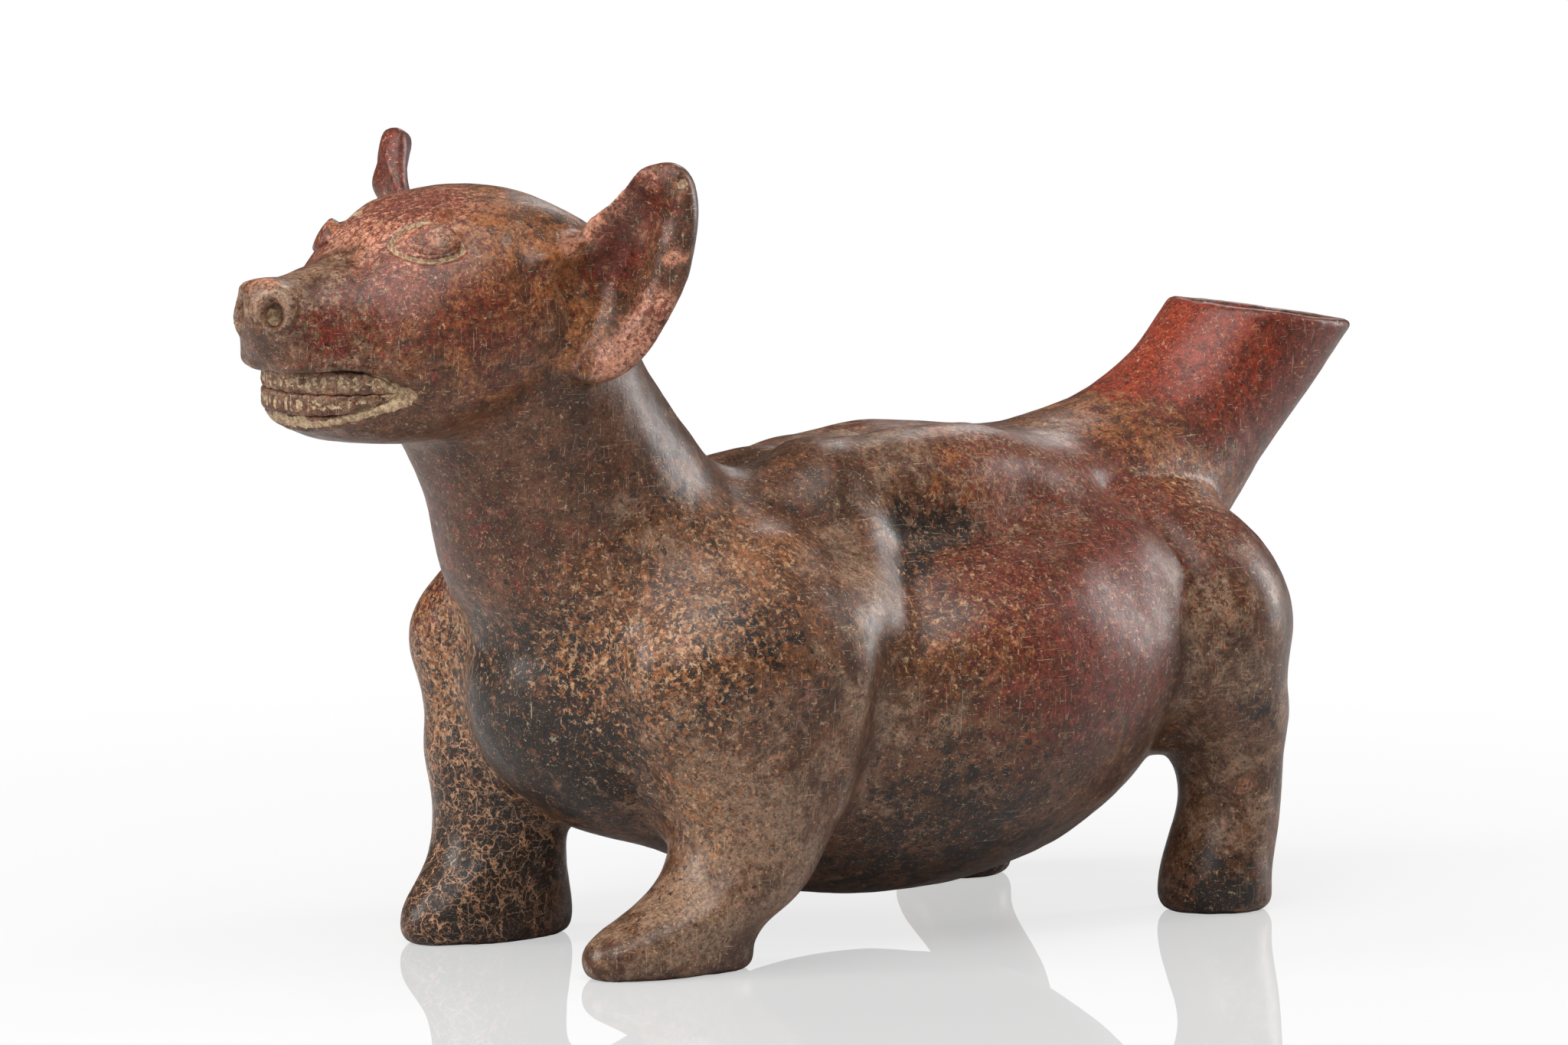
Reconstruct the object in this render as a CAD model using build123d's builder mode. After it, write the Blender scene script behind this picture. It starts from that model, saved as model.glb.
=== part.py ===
# Hollow clay vessel in the shape of a standing dog, with an open spout for a tail.
# Millimetres, +Z up. The dog faces -X and its left side is -Y.
# The origin is on the floor, under the middle of the whole vessel.
# Every piece is formed by itself and luted to its neighbours along a thin slip joint.

import math
import os

from build123d import *

os.makedirs("parts", exist_ok=True)

# Clay work
wall = 6.5
slip_gap = 0.3
cut_overrun = 30.0

# Torso: a swollen barrel, pressed as a bowl below and a vault above
torso_length = 252.0
torso_width = 158.0
torso_rise = 71.0
torso_drop = 64.0
torso_axis_z = 75.0
torso_mid_x = 18.0
back_roll_height = 6.0
back_groove_depth = 5.0
flank_valley_depth = 12.0
torso_ring_points = 24

# Where the back roll, the median groove and the flank valley lie on the barrel, and how
# wide they are, in degrees round it from its top
back_roll_angle = 24
back_roll_spread_angle = 14
back_groove_spread_angle = 12
flank_valley_angle = 49
flank_valley_spread_angle = 13

# Neck: fore-and-aft length, width, and how far its top leans forward
neck_length = 86.0
neck_width = 76.0
neck_foot_x = -62.0
neck_foot_z = 96.0
neck_height = 92.0
neck_lean = 43.0

# Head: from the tip of the nose to the back of the skull
head_length = 131.0
head_width = 78.0
head_height = 72.0
head_tip_x = -197.0
head_base_z = 152.0
skull_cavity_start = 46.0
head_squareness_share = 0.82
head_ring_points = 16

# Mouth, jaw and teeth
mouth_corner_x = -161.0
mouth_line_z = 170.4
mouth_rise = 6.6
mouth_drop = 6.4
jaw_root_run = 13.0
jaw_root_drop = 26.0
lip_overhang = 1.4
tooth_strip_depth = 4.5
tooth_gap_width = 1.1
tooth_gap_depth = 1.3
teeth_per_row = 16
lower_tooth_shift_share = 0.5
muzzle_half_width = 26.0
muzzle_front_run = 26.5
muzzle_corner_share = 0.72
muzzle_corner_run_share = 0.30
mouth_sag_share = 0.8
jaw_root_spread_share = 0.25

# Nose pad with two nostrils
nose_pad_depth = 8.0
nose_pad_bottom_z = 185.0
nostril_radius = 3.0
nose_web = 2.5
nostril_spread = 7.5
nostril_z = 193.0

# Eyes: almond pellets in an incised socket, each at a place on its own side of the head
left_eye_place = (-150.2, 24.0, 214.0)
right_eye_place = (-154.0, 24.0, 211.0)
eye_length = 15.0
eye_height = 9.6
eye_seat_depth = 2.4
eye_bulge = 1.8
eye_groove = 1.2
eye_outward_angle = 46.0
eye_upward_angle = 30.0

# Ears: leaf-shaped, hollowed on the face that looks forward
ear_root_x = -108.4
ear_root_spread = 36.0
ear_root_z = 185.5
ear_length = 47.5
ear_breadth = 35.0
ear_thickness = 9.0
ear_rim = 3.4
ear_dish_depth = 5.5
ear_outward_angle = 33.0
ear_upward_angle = 4.6
dish_reach_share = 0.62
dish_across_share = 0.42
dish_up_share = 0.28
right_ear_shift = (-6.5, 1.0, -0.5)

# Legs: sizes, then where each stands, from the floor up to its shoulder or haunch
sole_rounding = 4.5
foreleg_height = 128.0
shoulder_length = 90.0
shoulder_breadth = 56.0
forefoot_length = 57.0
forefoot_width = 31.0
hindleg_height = 126.0
haunch_length = 64.0
haunch_breadth = 54.0
hindfoot_length = 33.0
hindfoot_width = 32.0
left_fore_shank = 46.0
right_fore_shank = 40.0
hind_shank = 30.0
crown_length = 56.0
crown_breadth = 40.0
left_shoulder_crown_place = (-42.0, -24.0)
left_shoulder_place = (-50.0, -46.0)
left_fore_ankle_place = (-52.0, -45.0)
left_forefoot_place = (-80.5, -43.0)
right_shoulder_crown_place = (-42.0, 24.0)
right_shoulder_place = (-51.0, 47.0)
right_fore_ankle_place = (-71.0, 44.0)
right_forefoot_place = (-76.5, 44.0)
left_haunch_crown_place = (98.0, -26.0)
left_haunch_place = (109.0, -43.0)
left_hind_ankle_place = (125.0, -43.0)
left_hindfoot_place = (119.5, -43.0)
right_haunch_crown_place = (98.0, 26.0)
right_haunch_place = (109.0, 43.0)
right_hind_ankle_place = (117.0, 51.0)
right_hindfoot_place = (107.0, 59.0)

# Tail spout
spout_angle = 47.0
spout_rim_x = 171.9
spout_rim_z = 163.2
spout_rim_radius = 23.5
spout_bore_radius = 17.5
spout_length = 78.0
spout_root_flare = 12.0
spout_rim_tilt = 10.0
spout_rim_rounding = 1.6

# Each torso station: place along the barrel from -1 to 1, width, drop, rise,
# then how much of the back roll, the median groove and the flank valley it has
torso_shares = [
    (-0.985, 0.90, 0.95, 1.00, 0.0, 0.0, 0.0),
    (-0.93, 0.86, 0.95, 1.00, 0.0, 0.0, 0.0),
    (-0.76, 0.84, 0.92, 1.00, 0.0, 0.0, 0.0),
    (-0.52, 0.82, 0.88, 0.98, 0.2, 0.2, 0.4),
    (-0.24, 0.90, 0.95, 0.90, 0.8, 1.0, 0.95),
    (0.02, 1.00, 1.00, 0.915, 1.0, 0.8, 0.9),
    (0.27, 1.00, 1.00, 0.935, 0.8, 0.4, 0.55),
    (0.50, 0.95, 0.95, 1.01, 0.3, 0.0, 0.2),
    (0.66, 0.86, 0.82, 1.12, 0.0, 0.0, 0.0),
    (0.82, 0.76, 0.72, 1.18, 0.0, 0.0, 0.0),
    (0.93, 0.72, 0.70, 1.18, 0.0, 0.0, 0.0),
    (0.985, 0.72, 0.70, 1.18, 0.0, 0.0, 0.0),
]

# Neck stations: share of its height, share of its lean, then length and width
neck_shares = [
    (0.0, 0.0, 1.00, 1.16),
    (0.23, 0.14, 1.19, 1.12),
    (0.40, 0.36, 1.12, 1.01),
    (0.60, 0.70, 1.02, 0.94),
    (0.80, 0.97, 0.95, 0.92),
    (1.0, 1.14, 0.90, 0.90),
]

# Head stations: share of the length from the nose, top, bottom, half width, taper
head_shares = [
    (0.006, 0.62, 0.50, 0.15, 0.0),
    (0.02, 0.665, 0.44, 0.25, 0.05),
    (0.045, 0.695, 0.36, 0.35, 0.10),
    (0.075, 0.70, 0.26, 0.415, 0.14),
    (0.115, 0.71, 0.135, 0.475, 0.16),
    (0.16, 0.73, 0.073, 0.53, 0.16),
    (0.23, 0.765, 0.036, 0.62, 0.12),
    (0.31, 0.84, 0.018, 0.79, 0.02),
    (0.40, 0.915, 0.008, 0.91, 0.0),
    (0.51, 0.97, 0.04, 0.98, 0.0),
    (0.65, 0.985, 0.083, 1.00, 0.0),
    (0.78, 0.905, 0.11, 0.94, 0.0),
    (0.89, 0.775, 0.18, 0.75, 0.0),
    (0.96, 0.65, 0.28, 0.48, 0.0),
    (0.99, 0.57, 0.37, 0.25, 0.0),
]

# Foreleg stations: share of the height, then the shares of crown, shoulder, ankle and
# foot in the size and the place of the section
foreleg_shares = [
    (0.052, 0.0, 0.0, 0.0, 1.0),
    (0.105, 0.0, 0.0, 0.22, 0.76),
    (0.18, 0.0, 0.0, 0.70, 0.25),
    (0.30, 0.0, 0.04, 0.94, 0.0),
    (0.42, 0.0, 0.36, 0.66, 0.0),
    (0.55, 0.0, 0.92, 0.0, 0.0),
    (0.68, 0.0, 1.0, 0.0, 0.0),
    (0.80, 0.20, 0.76, 0.0, 0.0),
    (0.90, 0.55, 0.36, 0.0, 0.0),
    (0.97, 0.50, 0.0, 0.0, 0.0),
]

# Hind leg stations, in the same order
hindleg_shares = [
    (0.06, 0.0, 0.0, 0.0, 1.0),
    (0.15, 0.0, 0.0, 0.45, 0.53),
    (0.27, 0.0, 0.0, 0.98, 0.0),
    (0.37, 0.0, 0.16, 0.84, 0.0),
    (0.46, 0.0, 0.62, 0.38, 0.0),
    (0.56, 0.0, 0.96, 0.0, 0.0),
    (0.67, 0.0, 1.0, 0.0, 0.0),
    (0.79, 0.12, 0.82, 0.0, 0.0),
    (0.89, 0.50, 0.40, 0.0, 0.0),
    (0.96, 0.50, 0.0, 0.0, 0.0),
]

# How a sole rounds up to the side of its foot: shares of the rounding, rise then draw
sole_shares = [(0.0, 0.75), (0.20, 0.40), (0.60, 0.10)]

# Spout stations back from the rim: share of its length, share of the root flare
spout_shares = [(-0.22, 0.03), (0.25, 0.0), (0.50, 0.08), (0.74, 0.40), (1.0, 1.0)]

# Leaf outline of an ear: shares of its breadth and length, from the front root round
ear_outline_shares = [
    (-0.34, 0.36),
    (0.12, 0.60),
    (0.38, 0.79),
    (0.56, 0.93),
    (0.76, 1.00),
    (0.92, 0.94),
    (1.00, 0.78),
    (0.98, 0.50),
    (0.92, 0.28),
    (0.78, 0.05),
    (0.52, -0.20),
    (0.22, -0.32),
    (-0.12, -0.26),
    (-0.42, 0.02),
]


def closed_face(plane, points):
    """A flat face on a plane, inside one smooth closed curve through the points."""
    with BuildSketch(plane, mode=Mode.PRIVATE) as section:
        with BuildLine():
            Spline(*points, periodic=True)
        make_face()
    return section.sketch


def swell(offset, spread):
    """A smooth bump, one at its middle and fading on both sides."""
    return math.exp(-((offset / spread) ** 2))


def torso_section(shares, inset):
    """Cross-section of the torso at one station, drawn in by the inset."""
    along, width_share, drop_share, rise_share, roll_share, groove_share, valley_share = shares
    cap_share = math.sqrt(1 - along * along)
    half_width = (width_share * torso_width / 2) * cap_share - inset * cap_share
    drop = drop_share * torso_drop * cap_share - inset * cap_share
    rise = rise_share * torso_rise * cap_share - inset * cap_share
    points = []
    for step in range(torso_ring_points):
        turn = math.radians(-90 + 360 / torso_ring_points * step)
        side_share = math.cos(turn)
        lift_share = math.sin(turn)
        lift = (rise if lift_share > 0 else drop) * lift_share
        off_top = math.degrees(math.acos(lift_share))
        roll = back_roll_height * roll_share * swell(off_top - back_roll_angle, back_roll_spread_angle)
        groove = back_groove_depth * groove_share * swell(off_top, back_groove_spread_angle)
        valley_fade = swell(off_top - flank_valley_angle, flank_valley_spread_angle)
        valley = flank_valley_depth * valley_share * valley_fade
        out = half_width * side_share - valley * side_share
        points.append((out, torso_axis_z + lift + roll - groove - valley * lift_share))
    reach = torso_length / 2 - inset
    return closed_face(Plane.YZ.offset(torso_mid_x + along * reach), points)


def torso_form(inset):
    """The whole barrel as one closed solid."""
    reach = torso_length / 2 - inset
    sections = [Vertex(torso_mid_x - reach, 0, torso_axis_z)]
    sections += [torso_section(shares, inset) for shares in torso_shares]
    sections.append(Vertex(torso_mid_x + reach, 0, torso_axis_z))
    with BuildPart() as form:
        loft(sections=sections)
    return form.part


def neck_form(inset):
    """The leaning neck as one solid, from inside the torso to inside the head."""
    with BuildPart() as form:
        for height_share, lean_share, length_share, width_share in neck_shares:
            level = neck_foot_z + height_share * neck_height
            middle_x = neck_foot_x - lean_share * neck_lean
            with BuildSketch(Plane.XY.offset(level)):
                with Locations((middle_x, 0)):
                    Ellipse(length_share * neck_length / 2 - inset, width_share * neck_width / 2 - inset)
        loft()
    return form.part


def head_section(shares, inset):
    """Cross-section of the head at one station, narrower above than below."""
    along, top_share, bottom_share, width_share, taper_share = shares
    top = head_base_z + top_share * head_height - inset
    bottom = head_base_z + bottom_share * head_height + inset
    half_width = width_share * head_width / 2 - inset
    middle_z = (top + bottom) / 2
    half_height = (top - bottom) / 2
    points = []
    for step in range(head_ring_points):
        turn = math.radians(-90 + 360 / head_ring_points * step)
        across = math.copysign(abs(math.cos(turn)) ** head_squareness_share, math.cos(turn))
        lift = math.copysign(abs(math.sin(turn)) ** head_squareness_share, math.sin(turn))
        out = half_width * across * (1 - taper_share * lift)
        points.append((out, middle_z + half_height * lift))
    return closed_face(Plane.YZ.offset(head_tip_x + along * head_length), points)


def head_form(inset):
    """The head and muzzle as one closed solid, before the mouth is cut."""
    first_top, first_bottom = head_shares[0][1], head_shares[0][2]
    last_top, last_bottom = head_shares[-1][1], head_shares[-1][2]
    tip_z = head_base_z + (first_top + first_bottom) / 2 * head_height
    back_z = head_base_z + (last_top + last_bottom) / 2 * head_height
    sections = [Vertex(head_tip_x + inset, 0, tip_z)]
    sections += [head_section(shares, inset) for shares in head_shares]
    sections.append(Vertex(head_tip_x + head_length - inset, 0, back_z))
    with BuildPart() as form:
        loft(sections=sections)
    return form.part


def skull_cavity():
    """The hollow inside the skull, behind the solid muzzle."""
    kept = [s for s in head_shares if s[0] * head_length > skull_cavity_start]
    kept = [s for s in kept if s[3] * head_width / 2 > 2 * wall]
    with BuildPart() as form:
        loft(sections=[head_section(shares, wall) for shares in kept])
    return form.part


def flat_ellipse(level, place, length, breadth):
    """An ellipse in a level plane, with its long way along X."""
    with BuildSketch(Plane.XY.offset(level), mode=Mode.PRIVATE) as section:
        with Locations(place):
            Ellipse(length / 2, breadth / 2)
    return section.sketch


def blend(weights, values):
    """The mean of some values under the given weights."""
    return sum(w * v for w, v in zip(weights, values)) / sum(weights)


def leg_form(shares, height, lengths, breadths, places):
    """A leg lofted through flat ellipses, from its rounded sole to its hidden crown."""
    foot_length, foot_width, foot_place = lengths[-1], breadths[-1], places[-1]
    sections = []
    for rise_share, draw_share in sole_shares:
        draw = draw_share * sole_rounding
        sections.append(
            flat_ellipse(rise_share * sole_rounding, foot_place, foot_length - 2 * draw, foot_width - 2 * draw)
        )
    for height_share, *weights in shares:
        middle = tuple(blend(weights, [place[axis] for place in places]) for axis in (0, 1))
        length = sum(w * size for w, size in zip(weights, lengths))
        breadth = sum(w * size for w, size in zip(weights, breadths))
        sections.append(flat_ellipse(height_share * height, middle, length, breadth))
    sections.append(Vertex(*places[0], height))
    with BuildPart() as form:
        loft(sections=sections)
    return form.part


def spout_plane(back_from_rim, outset):
    """A plane square to the spout, behind its rim, with its centre moved off the axis."""
    run = math.cos(math.radians(spout_angle))
    climb = math.sin(math.radians(spout_angle))
    origin = (
        spout_rim_x - back_from_rim * run - outset * climb,
        0,
        spout_rim_z - back_from_rim * climb + outset * run,
    )
    return Plane(origin=origin, x_dir=(0, 1, 0), z_dir=(run, 0, climb))


def spout_form(growth):
    """The spout as a solid, flared forward at its root and straight along its rear."""
    with BuildPart() as form:
        for back_share, flare_share in spout_shares:
            flare = flare_share * spout_root_flare
            with BuildSketch(spout_plane(back_share * spout_length, flare)):
                Circle(spout_rim_radius + flare + growth)
        loft()
    return form.part


def spout_bore(radius, length):
    """The straight bore of the spout, from beyond the rim to inside the torso."""
    with BuildPart() as bore:
        with BuildSketch(spout_plane(length, 0)):
            Circle(radius)
        extrude(amount=length + cut_overrun)
    return bore.part


torso_outer = torso_form(0)
torso_seat = torso_form(-slip_gap)
torso_inner = torso_form(wall)
head_outer = head_form(0)
head_seat = head_form(-slip_gap)
neck_seat = neck_form(-slip_gap)
spout_seat = spout_form(slip_gap)
neck_bore = neck_form(wall)
tail_bore = spout_bore(spout_bore_radius, spout_length)

# Belly bowl: the lower half of the barrel, open upwards
with BuildPart() as belly_bowl:
    add(torso_outer)
    add(torso_inner, mode=Mode.SUBTRACT)
    split(bisect_by=Plane.XY.offset(torso_axis_z - slip_gap / 2), keep=Keep.BOTTOM)

# Back vault: the upper half, open to the neck and to the spout
with BuildPart() as back_vault:
    add(torso_outer)
    add(torso_inner, mode=Mode.SUBTRACT)
    split(bisect_by=Plane.XY.offset(torso_axis_z + slip_gap / 2), keep=Keep.TOP)
    add(neck_bore, mode=Mode.SUBTRACT)
    add(tail_bore, mode=Mode.SUBTRACT)

# Neck collar: a leaning tube between the torso and the skull
with BuildPart() as neck_collar:
    add(neck_form(0))
    add(neck_bore, mode=Mode.SUBTRACT)
    add(torso_seat, mode=Mode.SUBTRACT)
    add(head_seat, mode=Mode.SUBTRACT)


def mouth_outline(inset):
    """Plan of the muzzle at the level of the mouth, open at the back, as a solid face."""
    half = muzzle_half_width - inset
    root_x = mouth_corner_x + jaw_root_run
    root_half = half + jaw_root_run * jaw_root_spread_share
    front_x = mouth_corner_x - muzzle_front_run + inset
    bend_x = front_x + muzzle_front_run * muzzle_corner_run_share
    with BuildSketch(mode=Mode.PRIVATE) as plan:
        with BuildLine():
            Spline(
                (root_x, root_half),
                (mouth_corner_x, half),
                (bend_x, half * muzzle_corner_share),
                (front_x, 0),
                (bend_x, -half * muzzle_corner_share),
                (mouth_corner_x, -half),
                (root_x, -root_half),
            )
            Line((root_x, -root_half), (root_x, root_half))
        make_face()
    return plan.sketch


def mouth_prism(inset, low, high):
    """The muzzle plan, drawn in by the inset, between two levels."""
    with BuildPart() as prism:
        add(Plane.XY.offset(low) * mouth_outline(inset))
        extrude(amount=high - low)
    return prism.part


def mouth_wedge(gap):
    """The open mouth seen from the side: a lens from its corner to past the nose."""
    front_x = head_tip_x - cut_overrun
    run = mouth_corner_x - front_x
    with BuildPart() as wedge:
        with BuildSketch(Plane.XZ.offset(-head_width)):
            with BuildLine():
                Spline(
                    (front_x, mouth_line_z + mouth_rise - gap),
                    (mouth_corner_x - muzzle_front_run, mouth_line_z + mouth_rise - gap),
                    (mouth_corner_x - muzzle_front_run / 2, mouth_line_z + mouth_rise - gap),
                    (mouth_corner_x - gap, mouth_line_z),
                )
                Spline(
                    (mouth_corner_x - gap, mouth_line_z),
                    (mouth_corner_x - muzzle_front_run / 2, mouth_line_z - mouth_drop * mouth_sag_share + gap),
                    (mouth_corner_x - muzzle_front_run, mouth_line_z - mouth_drop + gap),
                    (front_x, mouth_line_z - mouth_drop + gap),
                )
                Line((front_x, mouth_line_z - mouth_drop + gap), (front_x, mouth_line_z + mouth_rise - gap))
            make_face()
        extrude(amount=head_width * 2)
    return wedge.part


def tooth_ring(outer_inset, inner_inset):
    """An upright band that follows the muzzle plan between two insets."""
    low = mouth_line_z - 2 * mouth_drop
    high = mouth_line_z + 2 * mouth_rise
    return mouth_prism(outer_inset, low, high) - mouth_prism(inner_inset, low, high)


def tooth_gaps(turned):
    """The upright gaps between the teeth of one row, fanned round the muzzle."""
    ring = tooth_ring(lip_overhang - cut_overrun / 2, lip_overhang + tooth_gap_depth)
    fan_angle = 180 / teeth_per_row
    with BuildPart() as gaps:
        for tooth in range(1, teeth_per_row):
            turn = 90 + fan_angle * (tooth + turned)
            with Locations(Location((mouth_corner_x, 0, mouth_line_z), (0, 0, turn))):
                Box(
                    2 * head_width,
                    tooth_gap_width,
                    2 * (mouth_rise + mouth_drop),
                    align=(Align.MIN, Align.CENTER, Align.CENTER),
                )
        add(ring, mode=Mode.INTERSECT)
    return gaps.part


def jaw_block(gap):
    """The space of the lower jaw, seen from the side, across the whole head."""
    front_x = head_tip_x - cut_overrun
    root_z = mouth_line_z - jaw_root_drop
    with BuildPart() as block:
        with BuildSketch(Plane.XZ.offset(-head_width)):
            with BuildLine():
                Polyline(
                    (front_x, mouth_line_z - gap),
                    (mouth_corner_x - gap, mouth_line_z - gap),
                    (mouth_corner_x + jaw_root_run - gap, root_z),
                    (front_x, root_z),
                    close=True,
                )
            make_face()
        extrude(amount=2 * head_width)
    return block.part


def nose_block(gap):
    """The space of the nose pad, at the front of the muzzle."""
    depth = nose_pad_depth - gap
    bottom = nose_pad_bottom_z + gap
    with BuildPart() as block:
        with Locations((head_tip_x + depth, 0, bottom)):
            Box(
                depth + cut_overrun,
                head_width,
                head_height,
                align=(Align.MAX, Align.CENTER, Align.MIN),
            )
    return block.part


def face_plane(place, outward_angle, upward_angle, side):
    """A plane whose normal looks forward, turned out to one side and upwards."""
    outward = math.radians(outward_angle)
    upward = math.radians(upward_angle)
    normal = (
        -math.cos(outward) * math.cos(upward),
        side * math.sin(outward) * math.cos(upward),
        math.sin(upward),
    )
    across = (math.sin(outward), side * math.cos(outward), 0)
    return Plane(origin=place, x_dir=across, z_dir=normal)


def eye_plane(place, side):
    """The plane of one eye, set on the surface of the head."""
    x, spread, z = place
    plane = face_plane((x, side * spread, z), eye_outward_angle, eye_upward_angle, side)
    hits = head_outer.find_intersection_points(Axis(plane.origin, plane.z_dir))
    seats = sorted(hits, key=lambda hit: (hit[0] - plane.origin).length)
    return Plane(origin=seats[0][0], x_dir=plane.x_dir, z_dir=plane.z_dir)


def almond(plane, growth, low, high):
    """An almond-shaped prism on a plane, between two heights over it."""
    half_length = eye_length / 2 + growth
    half_height = eye_height / 2 + growth
    with BuildPart() as prism:
        with BuildSketch(plane.offset(low)):
            with BuildLine():
                ThreePointArc((-half_length, 0), (0, half_height), (half_length, 0))
                ThreePointArc((half_length, 0), (0, -half_height), (-half_length, 0))
            make_face()
        extrude(amount=high - low)
    return prism.part


def eye_pellet(place):
    """A domed almond of clay on the right, sunk into its socket by part of its thickness."""
    plane = eye_plane(place, 1)
    prism = almond(plane, 0, slip_gap - eye_seat_depth, eye_bulge)
    dome_radius = ((eye_length / 2) ** 2 + eye_bulge**2) / (2 * eye_bulge)
    centre = plane.origin + plane.z_dir * (eye_bulge - dome_radius)
    ball_plane = Plane(origin=centre, x_dir=-plane.z_dir, z_dir=plane.x_dir)
    return prism & (ball_plane.location * Sphere(dome_radius))


def left_ear_blade():
    """The left ear: a thick leaf with a rounded edge, dished on its front."""
    plane = face_plane(
        (ear_root_x, -ear_root_spread, ear_root_z), ear_outward_angle, ear_upward_angle, -1
    )
    outline = [(x * ear_breadth, y * ear_length) for x, y in ear_outline_shares]
    with BuildPart() as blade:
        with BuildSketch(plane.offset(-ear_thickness / 2)):
            with BuildLine():
                Spline(*outline, periodic=True)
            make_face()
        extrude(amount=ear_thickness)
        fillet(blade.edges(), radius=ear_rim)
        dish_reach = ear_length * dish_reach_share
        dish_radius = (dish_reach**2 + ear_dish_depth**2) / (2 * ear_dish_depth)
        dish_place = (
            ear_breadth * dish_across_share,
            ear_length * dish_up_share,
            ear_thickness / 2 + dish_radius - ear_dish_depth,
        )
        with Locations(plane.location * Location(dish_place)):
            Sphere(dish_radius, mode=Mode.SUBTRACT)
    return blade.part


tooth_channel = mouth_wedge(0) & tooth_ring(-cut_overrun, lip_overhang + tooth_strip_depth)

# Head shell: skull, brow and upper muzzle, hollow behind the muzzle
with BuildPart() as head_shell:
    add(head_outer)
    add(skull_cavity(), mode=Mode.SUBTRACT)
    add(neck_bore, mode=Mode.SUBTRACT)
    add(jaw_block(0), mode=Mode.SUBTRACT)
    add(tooth_channel, mode=Mode.SUBTRACT)
    add(nose_block(0), mode=Mode.SUBTRACT)
    for side, place in ((-1, left_eye_place), (1, right_eye_place)):
        socket = almond(eye_plane(place, side), eye_groove, -eye_seat_depth, cut_overrun)
        add(socket, mode=Mode.SUBTRACT)

# Lower jaw: a slab under the mouth
with BuildPart() as lower_jaw:
    add(head_outer)
    add(jaw_block(slip_gap), mode=Mode.INTERSECT)
    add(tooth_channel, mode=Mode.SUBTRACT)
    add(neck_seat, mode=Mode.SUBTRACT)

# Teeth: two curved strips, each notched into a row
tooth_strip = mouth_wedge(slip_gap) & tooth_ring(lip_overhang, lip_overhang + tooth_strip_depth - slip_gap)
with BuildPart() as upper_teeth:
    add(tooth_strip)
    split(bisect_by=Plane.XY.offset(mouth_line_z + slip_gap / 2), keep=Keep.TOP)
    add(tooth_gaps(0), mode=Mode.SUBTRACT)
with BuildPart() as lower_teeth:
    add(tooth_strip)
    split(bisect_by=Plane.XY.offset(mouth_line_z - slip_gap / 2), keep=Keep.BOTTOM)
    add(tooth_gaps(lower_tooth_shift_share), mode=Mode.SUBTRACT)

# Nose pad: the blunt end of the muzzle, with two nostrils pressed in
with BuildPart() as nose_pad:
    add(head_outer)
    add(nose_block(slip_gap), mode=Mode.INTERSECT)
    for side in (-1, 1):
        with BuildSketch(Plane.YZ.offset(head_tip_x + nose_pad_depth - nose_web)):
            with Locations((side * nostril_spread, nostril_z)):
                Circle(nostril_radius)
        extrude(amount=-cut_overrun, mode=Mode.SUBTRACT)

# Tail spout: a slanted tube, cut level at its rim
rim_slope = math.radians(spout_rim_tilt)
rim_plane = Plane(
    origin=(spout_rim_x, 0, spout_rim_z), z_dir=(math.sin(rim_slope), 0, math.cos(rim_slope))
)
with BuildPart() as tail_spout:
    add(spout_form(0))
    add(tail_bore, mode=Mode.SUBTRACT)
    split(bisect_by=rim_plane, keep=Keep.BOTTOM)
    rim_edges = [edge for edge in edges() if abs(rim_plane.to_local_coords(edge.center()).Z) < slip_gap]
    fillet(rim_edges, radius=spout_rim_rounding)
    add(torso_seat, mode=Mode.SUBTRACT)

pieces = {
    "belly_bowl": belly_bowl.part,
    "back_vault": back_vault.part,
    "neck_collar": neck_collar.part,
    "head_shell": head_shell.part,
    "lower_jaw": lower_jaw.part,
    "upper_teeth": upper_teeth.part,
    "lower_teeth": lower_teeth.part,
    "nose_pad": nose_pad.part,
    "tail_spout": tail_spout.part,
}

# Eyes: a domed almond in each socket, the left one mirrored from its place on the right
right_pellet = eye_pellet(right_eye_place)
left_pellet = eye_pellet(left_eye_place).mirror(Plane.XZ)
for name, pellet in (("left", left_pellet), ("right", right_pellet)):
    with BuildPart() as eye:
        add(pellet)
    pieces[f"eye_pellet_{name}"] = eye.part

# Ears: leaves luted to the sides of the skull, the right one set a little further forward
left_blade = left_ear_blade()
right_blade = Pos(*right_ear_shift) * left_blade.mirror(Plane.XZ)
for name, blade in (("left", left_blade), ("right", right_blade)):
    with BuildPart() as ear:
        add(blade)
        add(head_seat, mode=Mode.SUBTRACT)
        add(neck_seat, mode=Mode.SUBTRACT)
    pieces[f"ear_{name}"] = ear.part

fore_sizes = (shoulder_length, shoulder_breadth, forefoot_length, forefoot_width)
hind_sizes = (haunch_length, haunch_breadth, hindfoot_length, hindfoot_width)
legs = {
    "foreleg_left": (
        foreleg_shares, foreleg_height, fore_sizes, left_fore_shank,
        (left_shoulder_crown_place, left_shoulder_place, left_fore_ankle_place, left_forefoot_place),
    ),
    "foreleg_right": (
        foreleg_shares, foreleg_height, fore_sizes, right_fore_shank,
        (right_shoulder_crown_place, right_shoulder_place, right_fore_ankle_place, right_forefoot_place),
    ),
    "hind_leg_left": (
        hindleg_shares, hindleg_height, hind_sizes, hind_shank,
        (left_haunch_crown_place, left_haunch_place, left_hind_ankle_place, left_hindfoot_place),
    ),
    "hind_leg_right": (
        hindleg_shares, hindleg_height, hind_sizes, hind_shank,
        (right_haunch_crown_place, right_haunch_place, right_hind_ankle_place, right_hindfoot_place),
    ),
}

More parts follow.
